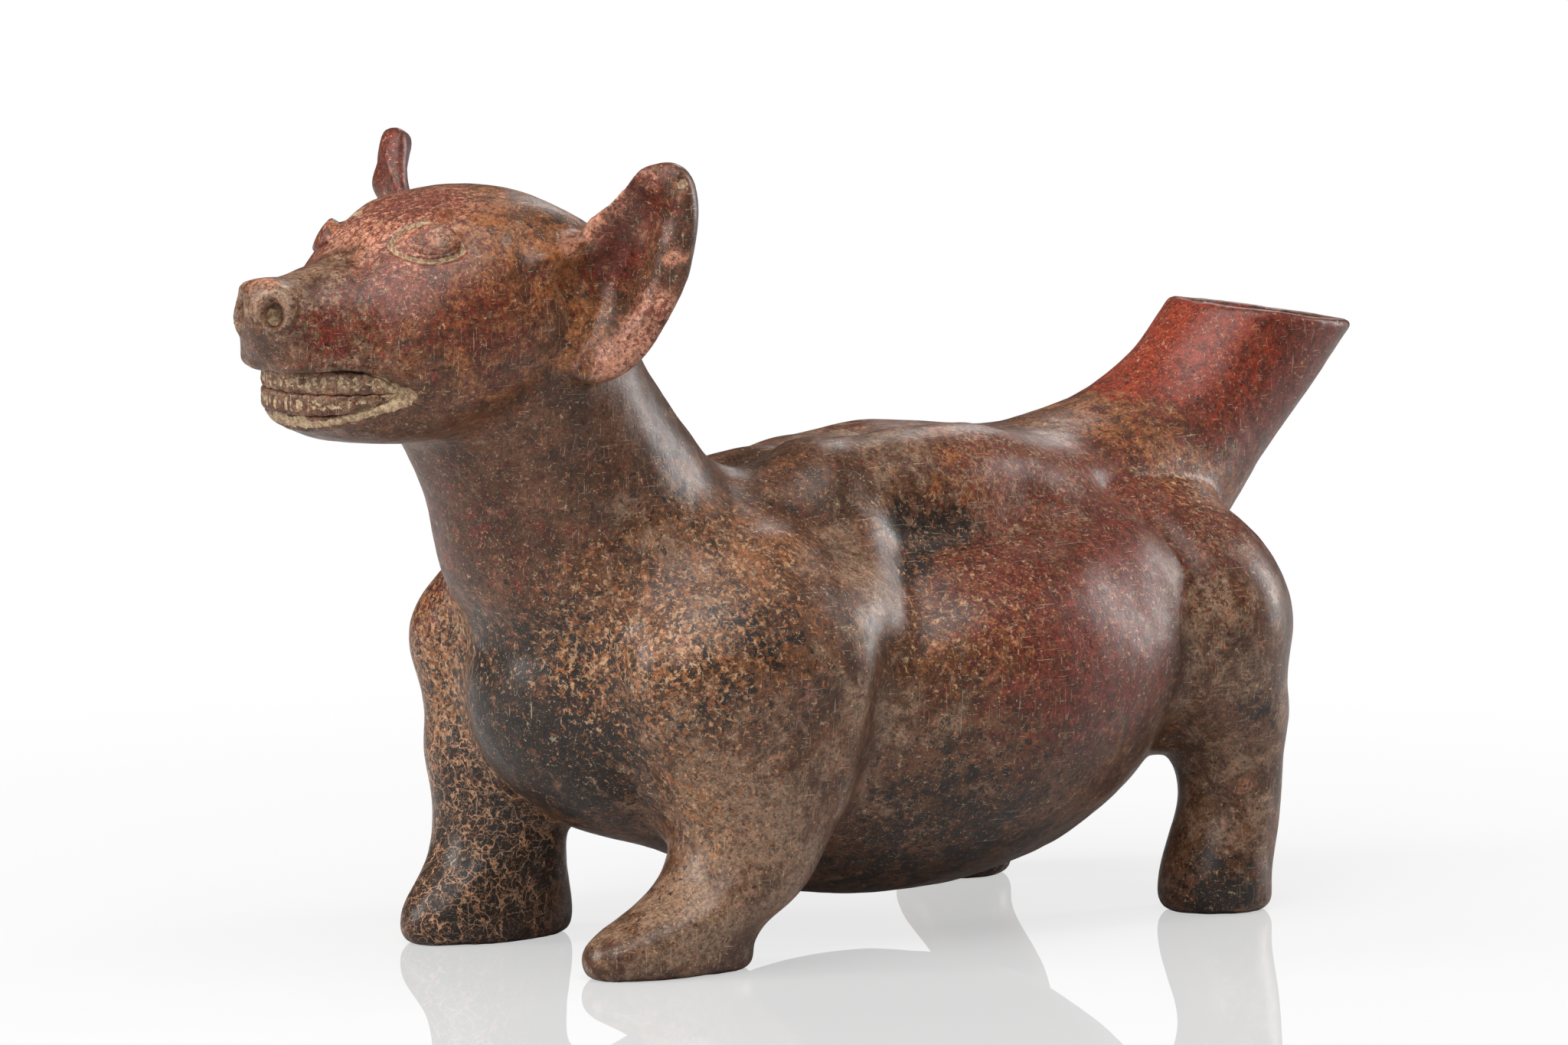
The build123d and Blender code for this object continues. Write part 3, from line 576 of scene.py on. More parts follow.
@dataclass
class Skin:
    """The outer clay of the whole vessel, worked as one before it is divided."""

    nodes: dict[str, bpy.types.Object]
    view: PhotoView
    clay: tuple[str, ...]
    filling: tuple[str, ...]
    plug_radius: float = 17.9
    plug_depths: tuple[float, float] = (48.0, 62.0)
    spout_mouth: Place = (171.9, 0.0, 163.2)
    spout_angle: float = 47.0
    detail_reach: float = 13.0
    mesh: bpy.types.Mesh = field(init=False)
    labels: np.ndarray = field(init=False)

    def block_out(self, voxel: float, start: Optional[bpy.types.Mesh] = None) -> None:
        """Cover the solids with one even skin and keep only its outside.

        Args:
            voxel: The size of its faces in mm.
            start: An earlier skin that is covered with them, which is used up.
        """
        mesh = merged_copy(self.nodes, self.clay + self.filling)
        work = bmesh.new()
        work.from_mesh(mesh)
        self.add_plug(work)
        if start:
            work.from_mesh(start)
            bpy.data.meshes.remove(start)
        work.to_mesh(mesh)
        work.free()
        self.mesh = remeshed(mesh, voxel * MM)
        self.keep_outside()

    def add_plug(self, work: bmesh.types.BMesh) -> None:
        """Close the spout's bore below its mouth, so that the hollow inside is left out."""
        lift = math.radians(self.spout_angle)
        axis = Vector((math.cos(lift), 0.0, math.sin(lift)))
        near, far = self.plug_depths
        middle = Vector(self.spout_mouth) - axis * (near + far) / 2
        made = bmesh.ops.create_cone(
            work, cap_ends=True, segments=64,
            radius1=self.plug_radius * MM, radius2=self.plug_radius * MM, depth=(far - near) * MM,
        )
        turn = axis.to_track_quat("Z", "Y").to_matrix()
        bmesh.ops.rotate(work, verts=made["verts"], cent=(0, 0, 0), matrix=turn)
        bmesh.ops.translate(work, verts=made["verts"], vec=middle * MM)

    def keep_outside(self) -> None:
        """Delete the closed skins that lie inside the clay."""
        work = bmesh.new()
        work.from_mesh(self.mesh)
        pairs = np.array([[v.index for v in edge.verts] for edge in work.edges])
        group = linked_groups(len(work.verts), pairs)
        kept = np.argmax(np.bincount(group))
        work.verts.ensure_lookup_table()
        inner = [vert for vert, number in zip(work.verts, group) if number != kept]
        bmesh.ops.delete(work, geom=inner, context="VERTS")
        work.to_mesh(self.mesh)
        work.free()

    def body_share(self, places: np.ndarray) -> np.ndarray:
        """How far each place belongs to the body, and not to the feet, the head or the spout's mouth."""
        x, z = places[:, 0] / MM, places[:, 2] / MM
        above_feet = np.clip((z - 48.0) / 26.0, 0.0, 1.0)
        head = np.clip((-58.0 - x) / 22.0, 0.0, 1.0) * np.clip((z - 132.0) / 18.0, 0.0, 1.0)
        mouth = np.clip((x - 138.0) / 18.0, 0.0, 1.0)
        return above_feet * (1.0 - head) * (1.0 - mouth)

    def fill_creases(self, reach: float, steps: int, voxel: float) -> None:
        """Swell the body in steps and draw it back again, which fills its creases with clay.

        Args:
            reach: How far it swells in mm, which is the radius of the filling.
            steps: How many steps it takes each way.
            voxel: The size of its faces in mm.
        """
        for outward in (1.0, -1.0):
            self.mesh = swollen(
                self.mesh, lambda places: outward * reach * MM * self.body_share(places), steps, voxel * MM
            )
        self.keep_outside()

    def tree(self) -> BVHTree:
        """A search tree of the skin as it is now."""
        work = bmesh.new()
        work.from_mesh(self.mesh)
        found = BVHTree.FromBMesh(work)
        work.free()
        return found

    def relax(self, weight: np.ndarray, rounds: int, hold: float = 0.0) -> None:
        """Draw each vertex towards the middle of its neighbours.

        Args:
            weight: How far each vertex goes in a round, from none to all the way.
            rounds: How many times that is done.
            hold: The share of each round that is given back.
        """
        smooth_mesh(self.mesh, weight, rounds, hold)

    def lining(self, rounds: int) -> Lining:
        """What inner faces are measured from: a smoother skin, and the clay's thickness.

        Args:
            rounds: How far it is smoothed.

        Returns:
            The lining, with one row for each vertex of the skin.
        """
        places, normals, clay = mesh_places(self.mesh), mesh_normals(self.mesh), self.tree()
        room = np.full(len(places), 1.0)
        for number, (place, normal) in enumerate(zip(places, normals)):
            inwards = -Vector(normal)
            hit = clay.ray_cast(Vector(place) + inwards * 0.2 * MM, inwards)
            if hit[3] is not None:
                room[number] = hit[3]
        smooth = self.mesh.copy()
        smooth_mesh(smooth, 0.6 * np.ones(len(smooth.vertices)), rounds)
        found = Lining(places, normals, room, mesh_places(smooth), mesh_normals(smooth))
        bpy.data.meshes.remove(smooth)
        return found

    def solids(self) -> tuple[BVHTree, list[int]]:
        """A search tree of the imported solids, and the number of the solid that owns each of its faces."""
        owners: list[int] = []
        work = bmesh.new()
        for number, name in enumerate(self.clay):
            before = len(work.faces)
            work.from_mesh(self.nodes[name].data)
            owners += [number] * (len(work.faces) - before)
        found = BVHTree.FromBMesh(work)
        work.free()
        return found, owners

    def hug(self, names: tuple[str, ...], rounds: int) -> None:
        """Lay the skin of some pieces exactly on their solids, so that thin edges run clean.

        Args:
            names: The pieces.
            rounds: How far from their seams the skin starts to follow.
        """
        corners, owners = self.corners()
        chosen = np.isin(self.labels, [self.clay.index(name) for name in names])
        share = np.ones(len(self.mesh.vertices))
        np.minimum.at(share, corners, chosen[owners].astype(float))
        for _ in range(rounds):
            share = np.minimum(share, spread(self.mesh, share, 0.7 * np.ones(len(share)), 1))
        tree, _ = self.solids()
        places = mesh_places(self.mesh)
        for number in np.nonzero(share > 0.01)[0]:
            nearest, _, _, distance = tree.find_nearest(Vector(places[number]))
            if distance < 3.0 * MM:
                places[number] += share[number] * (np.array(nearest) - places[number])
        place_vertices(self.mesh, places)

    def label_faces(self) -> None:
        """Give each face the number of the solid that lies nearest to it."""
        solids, owners = self.solids()
        centres = np.empty(len(self.mesh.polygons) * 3)
        self.mesh.polygons.foreach_get("center", centres)
        self.labels = np.array([owners[solids.find_nearest(Vector(c))[2]] for c in centres.reshape(-1, 3)])

    def seam_mask(self, pairs_to_soften: dict[frozenset[str], float], rounds: int) -> np.ndarray:
        """Find how near each vertex lies to a seam, weighted by how soft that seam is.

        Args:
            pairs_to_soften: The softness of each seam, by the two pieces it joins.
            rounds: How far the mask spreads.

        Returns:
            The mask, from none to one.
        """
        count = len(self.mesh.vertices)
        lowest, highest = np.full(count, 99), np.full(count, -1)
        corners, owners = self.corners()
        np.minimum.at(lowest, corners, self.labels[owners])
        np.maximum.at(highest, corners, self.labels[owners])
        mask = np.zeros(count)
        for vertex in np.nonzero(lowest != highest)[0]:
            pair = frozenset((self.clay[lowest[vertex]], self.clay[highest[vertex]]))
            mask[vertex] = pairs_to_soften.get(pair, 0.25)
        seam = mask.copy()
        for _ in range(rounds):
            mask = np.maximum(seam, spread(self.mesh, mask, 0.75 * np.ones(count), 1))
        return np.clip(mask * 1.6, 0.0, 1.0)

    def corners(self) -> tuple[np.ndarray, np.ndarray]:
        """The vertex and the face of each face corner."""
        corners = np.empty(len(self.mesh.loops), dtype=np.int32)
        self.mesh.loops.foreach_get("vertex_index", corners)
        sizes = np.empty(len(self.mesh.polygons), dtype=np.int32)
        self.mesh.polygons.foreach_get("loop_total", sizes)
        return corners, np.repeat(np.arange(len(sizes)), sizes)

    def refine(self, near: np.ndarray) -> None:
        """Divide the edges whose two ends are both marked."""
        work = bmesh.new()
        work.from_mesh(self.mesh)
        work.verts.ensure_lookup_table()
        chosen = [edge for edge in work.edges if near[edge.verts[0].index] and near[edge.verts[1].index]]
        bmesh.ops.subdivide_edges(work, edges=chosen, cuts=1, use_grid_fill=True, smooth=0.0)
        work.to_mesh(self.mesh)
        work.free()
        self.mesh.update()

    def traced(self, path: tuple[Pixel | Place, ...], side: Side, clay: BVHTree) -> list[np.ndarray]:
        """Lay a line on the clay, on one flank or on both.

        Args:
            path: The pixels of the line, or its places in mm.
            side: The flank or flanks.
            clay: The search tree of the skin.

        Returns:
            One chain of places for each flank.
        """
        hits = []
        for point in path:
            if len(point) == 3:
                hits.append(clay.find_nearest(Vector(point) * MM)[0])
            else:
                hits.append(self.view.touch(point, clay))
        hits = [hit for hit in hits if hit is not None]
        if not hits:
            LOG.warning("no clay under %s", path)
            return []
        chains = [np.array(hits)]
        if side is Side.BOTH:
            turned = [clay.find_nearest(Vector((hit.x, -hit.y, hit.z)))[0] for hit in hits]
            chains.append(np.array(turned))
        return chains

    def work_strokes(self, strokes: dict[str, Stroke]) -> None:
        """Push or pull the clay along each stroke, all from the same start."""
        clay = self.tree()
        places = mesh_places(self.mesh)
        normals = mesh_normals(self.mesh)
        move = np.zeros_like(places)
        for stroke in strokes.values():
            for chain in self.traced(stroke.path, stroke.side, clay):
                distance = self.stroke_distance(places, chain, stroke)
                lift = stroke.lift * MM * soft_falloff(distance, stroke.reach * MM)
                move += (normals if stroke.along is None else np.array(stroke.along)) * lift[:, None]
        place_vertices(self.mesh, places + move)

    def stroke_distance(self, places: np.ndarray, chain: np.ndarray, stroke: Stroke) -> np.ndarray:
        """How far each place is from a stroke's line, mostly across its push where it goes through."""
        distance = distance_to_path(places, chain)
        if not stroke.through:
            return distance
        push = np.array(stroke.along) / np.linalg.norm(stroke.along)
        flat_places = places - (places @ push)[:, None] * push
        flat_chain = chain - (chain @ push)[:, None] * push
        across = distance_to_path(flat_places, flat_chain)
        return np.hypot(across, distance * stroke.reach / stroke.through)

    def soften(self, path: tuple[Pixel | Place, ...], reach: float, rounds: int) -> None:
        """Smooth the clay over along a line.

        Args:
            path: The pixels of the line, or its places in mm.
            reach: How far from it the clay is smoothed, in mm.
            rounds: How many times it is smoothed.
        """
        clay = self.tree()
        places = mesh_places(self.mesh)
        weight = np.zeros(len(places))
        for chain in self.traced(path, Side.BOTH, clay):
            weight = np.maximum(weight, soft_falloff(distance_to_path(places, chain), reach * MM))
        self.relax(0.5 * weight, 2 * rounds)

    def turn_rim(self, steepening: float, reach: float) -> None:
        """Tilt the spout's mouth a little further back.

        Args:
            steepening: The further tilt in degrees.
            reach: How deep below the mouth the clay follows, in mm.
        """
        places = mesh_places(self.mesh)
        mouth = np.array(self.spout_mouth) * MM
        lift = math.radians(self.spout_angle)
        depth = (mouth - places) @ np.array((math.cos(lift), 0.0, math.sin(lift)))
        near = np.clip(1.0 - depth / (reach * MM), 0.0, 1.0) * (places[:, 0] > 130 * MM)
        places[:, 2] -= near * math.tan(math.radians(steepening)) * (places[:, 0] - mouth[0])
        place_vertices(self.mesh, places)

    def add_unevenness(self, size: float, height: float) -> None:
        """Give the surface the slight waviness of hand-built clay.

        Args:
            size: The breadth of its waves in mm.
            height: Their height in mm.
        """
        places = mesh_places(self.mesh)
        normals = mesh_normals(self.mesh)
        waves = np.array([noise.noise(Vector(place) / (size * MM)) for place in places])
        place_vertices(self.mesh, places + normals * (waves * height * MM)[:, None])

    def stand(self) -> None:
        """Press whatever reaches below the floor flat on it."""
        places = mesh_places(self.mesh)
        places[:, 2] = np.maximum(places[:, 2], 0.0)
        place_vertices(self.mesh, places)

    def settle_labels(self) -> None:
        """Smooth the borders between pieces and drop stray islands of faces."""
        sizes = len(self.mesh.polygons)
        pairs = self.face_pairs()
        for _round in range(6):
            votes = np.zeros((len(self.clay), sizes))
            for first, second in ((0, 1), (1, 0)):
                for number in range(len(self.clay)):
                    hit = self.labels[pairs[:, second]] == number
                    votes[number] += np.bincount(pairs[hit, first], minlength=sizes)
            best = votes.argmax(axis=0)
            clear = votes.max(axis=0) >= 3
            self.labels = np.where(clear, best, self.labels)
        self.drop_islands(pairs)

    def face_pairs(self) -> np.ndarray:
        """The faces that share an edge, two in a row."""
        loop_edges = np.empty(len(self.mesh.loops), dtype=np.int32)
        self.mesh.loops.foreach_get("edge_index", loop_edges)
        _, owners = self.corners()
        order = np.argsort(loop_edges, kind="stable")
        sorted_edges, sorted_owners = loop_edges[order], owners[order]
        same = sorted_edges[1:] == sorted_edges[:-1]
        return np.stack([sorted_owners[:-1][same], sorted_owners[1:][same]], axis=1)

    def drop_islands(self, pairs: np.ndarray) -> None:
        """Give each stray island of faces to the piece that surrounds it."""
        for _round in range(8):
            same = self.labels[pairs[:, 0]] == self.labels[pairs[:, 1]]
            group = linked_groups(len(self.labels), pairs[same])
            sizes = np.bincount(group, minlength=len(self.labels))
            stray = np.zeros(len(self.labels), dtype=bool)
            for number in range(len(self.clay)):
                mine = np.nonzero(self.labels == number)[0]
                if len(mine):
                    main = group[mine[np.argmax(sizes[group[mine]])]]
                    stray[mine] |= group[mine] != main
            if not stray.any():
                return
            for first, second in ((0, 1), (1, 0)):
                edge = stray[pairs[:, first]] & ~stray[pairs[:, second]]
                self.labels[pairs[edge, first]] = self.labels[pairs[edge, second]]


@dataclass
class Paint:
    """The tones laid on the clay, as values at its vertices."""

    skin: Skin
    crust_lines: tuple[tuple[tuple[Pixel, ...], float], ...] = (
        (((338, 489), (370, 493), (403, 489), (443, 486), (475, 490), (505, 497)), 1.3),
        (((354, 517), (384, 520), (432, 523), (474, 519), (506, 518)), 1.3),
        (((365, 542), (390, 553), (422, 555), (455, 548), (491, 539), (527, 529)), 1.5),
        (((502, 508), (518, 511), (538, 518)), 3.0),
        (FINE_STROKES["eye_ring"].path, 0.8),
        (((892, 243),), 1.8),
        (((360, 412), (362, 420)), 2.2),
    )
    chains: dict[str, list[tuple[np.ndarray, float, float]]] = field(default_factory=dict)

    def trace(self) -> None:
        """Find where on the clay each patch and each crusted line lies."""
        clay = self.skin.tree()
        self.chains = {tone: [] for tone in TONES}
        for blotch in BLOTCHES:
            for chain in self.skin.traced((blotch.pixel,), blotch.side, clay):
                self.chains[blotch.tone].append((chain, blotch.radius, blotch.strength))
        for path, reach in self.crust_lines:
            for chain in self.skin.traced(path, Side.BOTH, clay):
                self.chains["crust"].append((chain, reach, 1.0))

    def lay_on(self, mesh: bpy.types.Mesh, crusting: Optional[np.ndarray] = None) -> None:
        """Write the tones to a mesh as attributes of its vertices.

        Args:
            mesh: The mesh to paint.
            crusting: The least crust that each vertex has.
        """
        places = mesh_places(mesh)
        for tone in TONES:
            bare = np.ones(len(places))
            for chain, reach, strength in self.chains[tone]:
                near = soft_falloff(distance_to_path(places, chain), reach * MM)
                bare *= 1.0 - np.clip(strength * near, 0.0, 1.0)
            values = 1.0 - bare
            if tone == "crust" and crusting is not None:
                values = np.maximum(values, crusting)
            mesh.attributes.new(tone, "FLOAT", "POINT").data.foreach_set("value", values)


@dataclass(frozen=True)
class Layer:
    """One coat of flecks or a soft tint, where noise and a painted tone together pass a limit."""

    colour: str
    size: float
    low: float
    edge: float
    opacity: float
    tone: str = ""
    pull: float = 0.0
    turn: Place = (0, 0, 0)


@dataclass(frozen=True)
class BurnishedClay:
    """Hand-burnished, red-slipped clay with fire clouds, wear and root marks, painted shade in its hollows and valleys,
    and painted sheen and highlights where the light catches.
    """

    name: str = "burnished_clay"
    roughness: float = 0.37
    gloss: float = 0.36
    colours: tuple[tuple[str, Colour], ...] = (
        ("umber", (0.062, 0.027, 0.013)),
        ("brown", (0.135, 0.058, 0.029)),
        ("taupe", (0.260, 0.160, 0.100)),
        ("char_and_shade", (0.018, 0.014, 0.012)),
        ("soot", (0.028, 0.014, 0.010)),
        ("red", (0.165, 0.032, 0.020)),
        ("deep_red", (0.080, 0.014, 0.009)),
        ("vermilion", (0.250, 0.038, 0.018)),
        ("orange", (0.290, 0.105, 0.036)),
        ("salmon", (0.470, 0.205, 0.130)),
        ("buff", (0.430, 0.240, 0.125)),
        ("pale", (0.560, 0.440, 0.300)),
        ("root", (0.440, 0.235, 0.130)),
        ("crust", (0.560, 0.420, 0.250)),
    )
    layers: tuple[Layer, ...] = (
        # The taupe and salmon tints follow the tan and salmon tones, so they carry painted sheen and highlights as well
        # as pale clay; the char coats carry painted shade in hollows as well as fire clouds.
        Layer("taupe", 12.0, 0.56, 0.20, 0.85, "tan", 0.27, (20, 50, 10)),
        Layer("orange", 8.0, 0.60, 0.18, 0.85, "orange", 0.27, (70, 20, 30)),
        Layer("salmon", 6.0, 0.54, 0.34, 0.92, "salmon", 0.42, (35, 5, 60)),
        Layer("deep_red", 7.0, 0.62, 0.10, 0.70, "red", 0.27, (10, 80, 40)),
        Layer("red", 4.0, 0.64, 0.08, 0.85, "red", 0.26, (80, 10, 20)),
        Layer("vermilion", 4.5, 0.66, 0.10, 0.90, "bright", 0.32, (15, 5, 70)),
        Layer("deep_red", 1.7, 0.585, 0.04, 0.80, "fleck", 0.14, (45, 35, 5)),
        Layer("red", 1.4, 0.62, 0.04, 0.85, "fleck", 0.16, (5, 85, 65)),
        Layer("soot", 5.0, 0.66, 0.08, 0.95, "net", 0.40, (5, 75, 35)),
        Layer("char_and_shade", 7.0, 0.68, 0.10, 0.92, "char_and_shade", 0.31, (50, 30, 80)),
        Layer("char_and_shade", 2.2, 0.62, 0.04, 0.90, "char_and_shade", 0.14, (25, 60, 15)),
        Layer("umber", 1.6, 0.55, 0.05, 0.55, "", 0.0, (40, 10, 70)),
        Layer("orange", 2.0, 0.61, 0.05, 0.80, "wear", 0.13, (5, 35, 55)),
        Layer("buff", 1.8, 0.63, 0.04, 0.85, "wear", 0.12, (60, 25, 85)),
        Layer("pale", 1.1, 0.67, 0.03, 0.70, "wear", 0.06, (85, 15, 45)),
        Layer("char_and_shade", 1.0, 0.655, 0.03, 0.90, "", 0.0, (15, 65, 25)),
    )

    def build(self) -> bpy.types.Material:
        """Make the material."""
        return ClayNodes(self).material


class ClayNodes:
    """The node tree of a burnished clay finish."""

    def __init__(self, finish: BurnishedClay) -> None:
        """Lay out the nodes of the finish.

        Args:
            finish: The colours and the gloss to use.
        """
        self.finish = finish
        self.material = bpy.data.materials.new(finish.name)
        self.material.use_nodes = True
        self.tree = self.material.node_tree
        self.tree.nodes.clear()
        self.place = self.tree.nodes.new("ShaderNodeTexCoord").outputs["Object"]
        shader = self.tree.nodes.new("ShaderNodeBsdfPrincipled")
        output = self.tree.nodes.new("ShaderNodeOutputMaterial")
        self.tree.links.new(shader.outputs["BSDF"], output.inputs["Surface"])
        self.link(self.colour(), shader.inputs["Base Color"])
        self.link(self.gloss(), shader.inputs["Roughness"])
        self.link(self.relief(), shader.inputs["Normal"])
        shader.inputs["Specular IOR Level"].default_value = finish.gloss

    def link(self, source: bpy.types.NodeSocket, target: bpy.types.NodeSocket) -> None:
        """Join two sockets."""
        self.tree.links.new(source, target)

    def noise(self, size: float, detail: float = 4.0, rough: float = 0.6, stretch: Place = (1, 1, 1),
              turn: Place = (0, 0, 0), warp: float = 0.0) -> bpy.types.NodeSocket:
        """A field of noise.

        Args:
            size: The breadth of its patches in mm.
            detail: How many finer layers it has.
            rough: How strong the finer layers are.
            stretch: How much each axis is drawn out.
            turn: The turn of the stretched axes in degrees.
            warp: How far the field is distorted.

        Returns:
            The socket of its value.
        """
        mapping = self.tree.nodes.new("ShaderNodeMapping")
        mapping.inputs["Rotation"].default_value = [math.radians(angle) for angle in turn]
        mapping.inputs["Scale"].default_value = [1.0 / factor for factor in stretch]
        self.link(self.place, mapping.inputs["Vector"])
        node = self.tree.nodes.new("ShaderNodeTexNoise")
        self.link(mapping.outputs["Vector"], node.inputs["Vector"])
        node.inputs["Scale"].default_value = 1.0 / (size * MM)
        node.inputs["Detail"].default_value = detail
        node.inputs["Roughness"].default_value = rough
        node.inputs["Distortion"].default_value = warp
        return node.outputs["Fac"]

    def cracks(self, size: float, warp: float) -> bpy.types.NodeSocket:
        """The distance from a net of wandering lines, one cell of which has the given size in mm."""
        bend = self.tree.nodes.new("ShaderNodeTexNoise")
        self.link(self.place, bend.inputs["Vector"])
        bend.inputs["Scale"].default_value = 1.0 / (size * 0.8 * MM)
        bend.inputs["Detail"].default_value = 3.0
        shift = self.tree.nodes.new("ShaderNodeVectorMath")
        shift.operation = "MULTIPLY_ADD"
        self.link(bend.outputs["Color"], shift.inputs[0])
        shift.inputs[1].default_value = (warp * MM,) * 3
        self.link(self.place, shift.inputs[2])
        net = self.tree.nodes.new("ShaderNodeTexVoronoi")
        net.feature = "DISTANCE_TO_EDGE"
        net.inputs["Scale"].default_value = 1.0 / (size * MM)
        self.link(shift.outputs["Vector"], net.inputs["Vector"])
        return net.outputs["Distance"]

    def tone(self, name: str) -> bpy.types.NodeSocket:
        """The value of one of the painted tones."""
        node = self.tree.nodes.new("ShaderNodeAttribute")
        node.attribute_name = name
        return node.outputs["Fac"]

    def sums(self, operation: str, first: object, second: object) -> bpy.types.NodeSocket:
        """Join two values, each a socket or a number, by an operation."""
        node = self.tree.nodes.new("ShaderNodeMath")
        node.operation = operation
        for socket, value in zip(node.inputs, (first, second)):
            if isinstance(value, bpy.types.NodeSocket):
                self.link(value, socket)
            else:
                socket.default_value = value
        return node.outputs["Value"]

    def window(self, value: bpy.types.NodeSocket, low: float, high: float) -> bpy.types.NodeSocket:
        """Map a value to a smooth step between two limits."""
        node = self.tree.nodes.new("ShaderNodeMapRange")
        node.interpolation_type = "SMOOTHSTEP"
        self.link(value, node.inputs["Value"])
        node.inputs["From Min"].default_value = low
        node.inputs["From Max"].default_value = high
        return node.outputs["Result"]

    def mix(self, share: object, below: object, above: object) -> bpy.types.NodeSocket:
        """Lay one colour over another by a share."""
        node = self.tree.nodes.new("ShaderNodeMix")
        node.data_type = "RGBA"
        for socket, value in ((node.inputs[0], share), (node.inputs[6], below), (node.inputs[7], above)):
            if isinstance(value, bpy.types.NodeSocket):
                self.link(value, socket)
            elif isinstance(value, tuple):
                socket.default_value = (*value, 1.0)
            else:
                socket.default_value = value
        return node.outputs[2]

    def paint(self, name: str) -> Colour:
        """The finish's colour of the given name."""
        return dict(self.finish.colours)[name]

    def cover(self, layer: Layer) -> bpy.types.NodeSocket:
        """How far a layer covers what is below it."""
        value = self.noise(layer.size, 6.0, 0.66, turn=layer.turn, warp=0.5)
        if layer.tone:
            value = self.sums("ADD", value, self.sums("MULTIPLY", self.tone(layer.tone), layer.pull))
        return self.sums("MULTIPLY", self.window(value, layer.low, layer.low + layer.edge), layer.opacity)

    def colour(self) -> bpy.types.NodeSocket:
        """The colour of the clay at each place."""
        ground = self.mix(self.window(self.noise(16.0, 5.0, 0.6), 0.40, 0.62), self.paint("umber"), self.paint("brown"))
        for layer in self.finish.layers:
            ground = self.mix(self.cover(layer), ground, self.paint(layer.colour))
        ground = self.mix(self.root_marks(), ground, self.paint("pale"))
        ground = self.mix(self.network(), ground, self.paint("root"))
        ground = self.grain(ground)
        ragged = self.sums("MULTIPLY", self.sums("SUBTRACT", self.noise(2.0, 6.0, 0.75), 0.5), 1.3)
        crust = self.mix(self.window(self.noise(1.3, 5.0, 0.75), 0.42, 0.60), self.paint("taupe"), self.paint("crust"))
        return self.mix(self.window(self.sums("ADD", self.tone("crust"), ragged), 0.46, 0.60), ground, crust)

    def grain(self, colour: bpy.types.NodeSocket) -> bpy.types.NodeSocket:
        """Lighten and darken a colour in fine grains and in small patches."""
        fine = self.window(self.noise(0.9, 3.0, 0.7, turn=(15, 75, 35), warp=0.4), 0.36, 0.64)
        patches = self.window(self.noise(3.4, 4.0, 0.65, turn=(55, 15, 25), warp=0.6), 0.36, 0.64)
        light = self.sums("ADD", self.sums("MULTIPLY", fine, 0.62), self.sums("MULTIPLY", patches, 0.42))
        scaled = self.tree.nodes.new("ShaderNodeVectorMath")
        scaled.operation = "SCALE"
        self.link(colour, scaled.inputs[0])
        self.link(self.sums("ADD", light, 0.48), scaled.inputs["Scale"])
        return scaled.outputs["Vector"]

    def root_marks(self) -> bpy.types.NodeSocket:
        """Short curved marks and scratches, which roots and wear left."""
        line = self.sums("SUBTRACT", 1.0, self.window(self.cracks(4.6, 6.0), 0.005, 0.024))
        broken = self.window(self.noise(2.4, 3.0, 0.6, turn=(33, 44, 55)), 0.56, 0.61)
        marks = self.sums("MULTIPLY", self.sums("MULTIPLY", line, broken), 0.5)
        lengthwise = self.window(self.noise(0.8, 1.0, 0.5, stretch=(0.4, 1, 16), turn=(25, 0, 10)), 0.69, 0.73)
        across = self.window(self.noise(0.8, 1.0, 0.5, stretch=(16, 1, 0.4), turn=(0, 35, 60)), 0.69, 0.73)
        return self.sums("MAXIMUM", marks, self.sums("MULTIPLY", self.sums("MAXIMUM", lengthwise, across), 0.4))

    def network(self) -> bpy.types.NodeSocket:
        """The net of pale cracks on the dark paws."""
        line = self.sums("SUBTRACT", 1.0, self.window(self.cracks(6.0, 9.0), 0.005, 0.045))
        finer = self.sums("SUBTRACT", 1.0, self.window(self.cracks(3.0, 5.0), 0.004, 0.040))
        broken = self.window(self.noise(5.0, 4.0, 0.65, turn=(12, 66, 31)), 0.30, 0.50)
        cover = self.sums("MULTIPLY", self.window(self.tone("net"), 0.1, 0.55), broken)
        return self.sums("MULTIPLY", self.sums("MAXIMUM", line, self.sums("MULTIPLY", finer, 0.7)), cover)

    def gloss(self) -> bpy.types.NodeSocket:
        """The roughness of the burnish at each place."""
        uneven = self.sums("MULTIPLY", self.sums("SUBTRACT", self.noise(3.0, 5.0, 0.7), 0.5), 0.45)
        base = self.sums("ADD", uneven, self.finish.roughness)
        return self.sums("MINIMUM", self.sums("ADD", base, self.sums("MULTIPLY", self.tone("crust"), 0.45)), 0.95)

    def relief(self) -> bpy.types.NodeSocket:
        """The fine pits and strokes that the burnishing left."""
        fine = self.noise(0.9, 5.0, 0.7)
        strokes = self.noise(1.2, 3.0, 0.6, stretch=(1, 1, 7), turn=(12, 20, 0))
        height = self.sums("ADD", self.sums("MULTIPLY", fine, 0.6), self.sums("MULTIPLY", strokes, 0.5))
        bump = self.tree.nodes.new("ShaderNodeBump")
        bump.inputs["Strength"].default_value = 0.5
        bump.inputs["Distance"].default_value = 0.22 * MM
        self.link(height, bump.inputs["Height"])
        return bump.outputs["Normal"]


def dress_piece(piece: bpy.types.Object, material: bpy.types.Material, node: str) -> None:
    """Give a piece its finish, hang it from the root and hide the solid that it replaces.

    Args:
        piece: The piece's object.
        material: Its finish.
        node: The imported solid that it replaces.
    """
    piece.data.materials.append(material)
    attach(piece, "root")
    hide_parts(node)
    LOG.info("%s: %d faces", piece.name, len(piece.data.polygons))


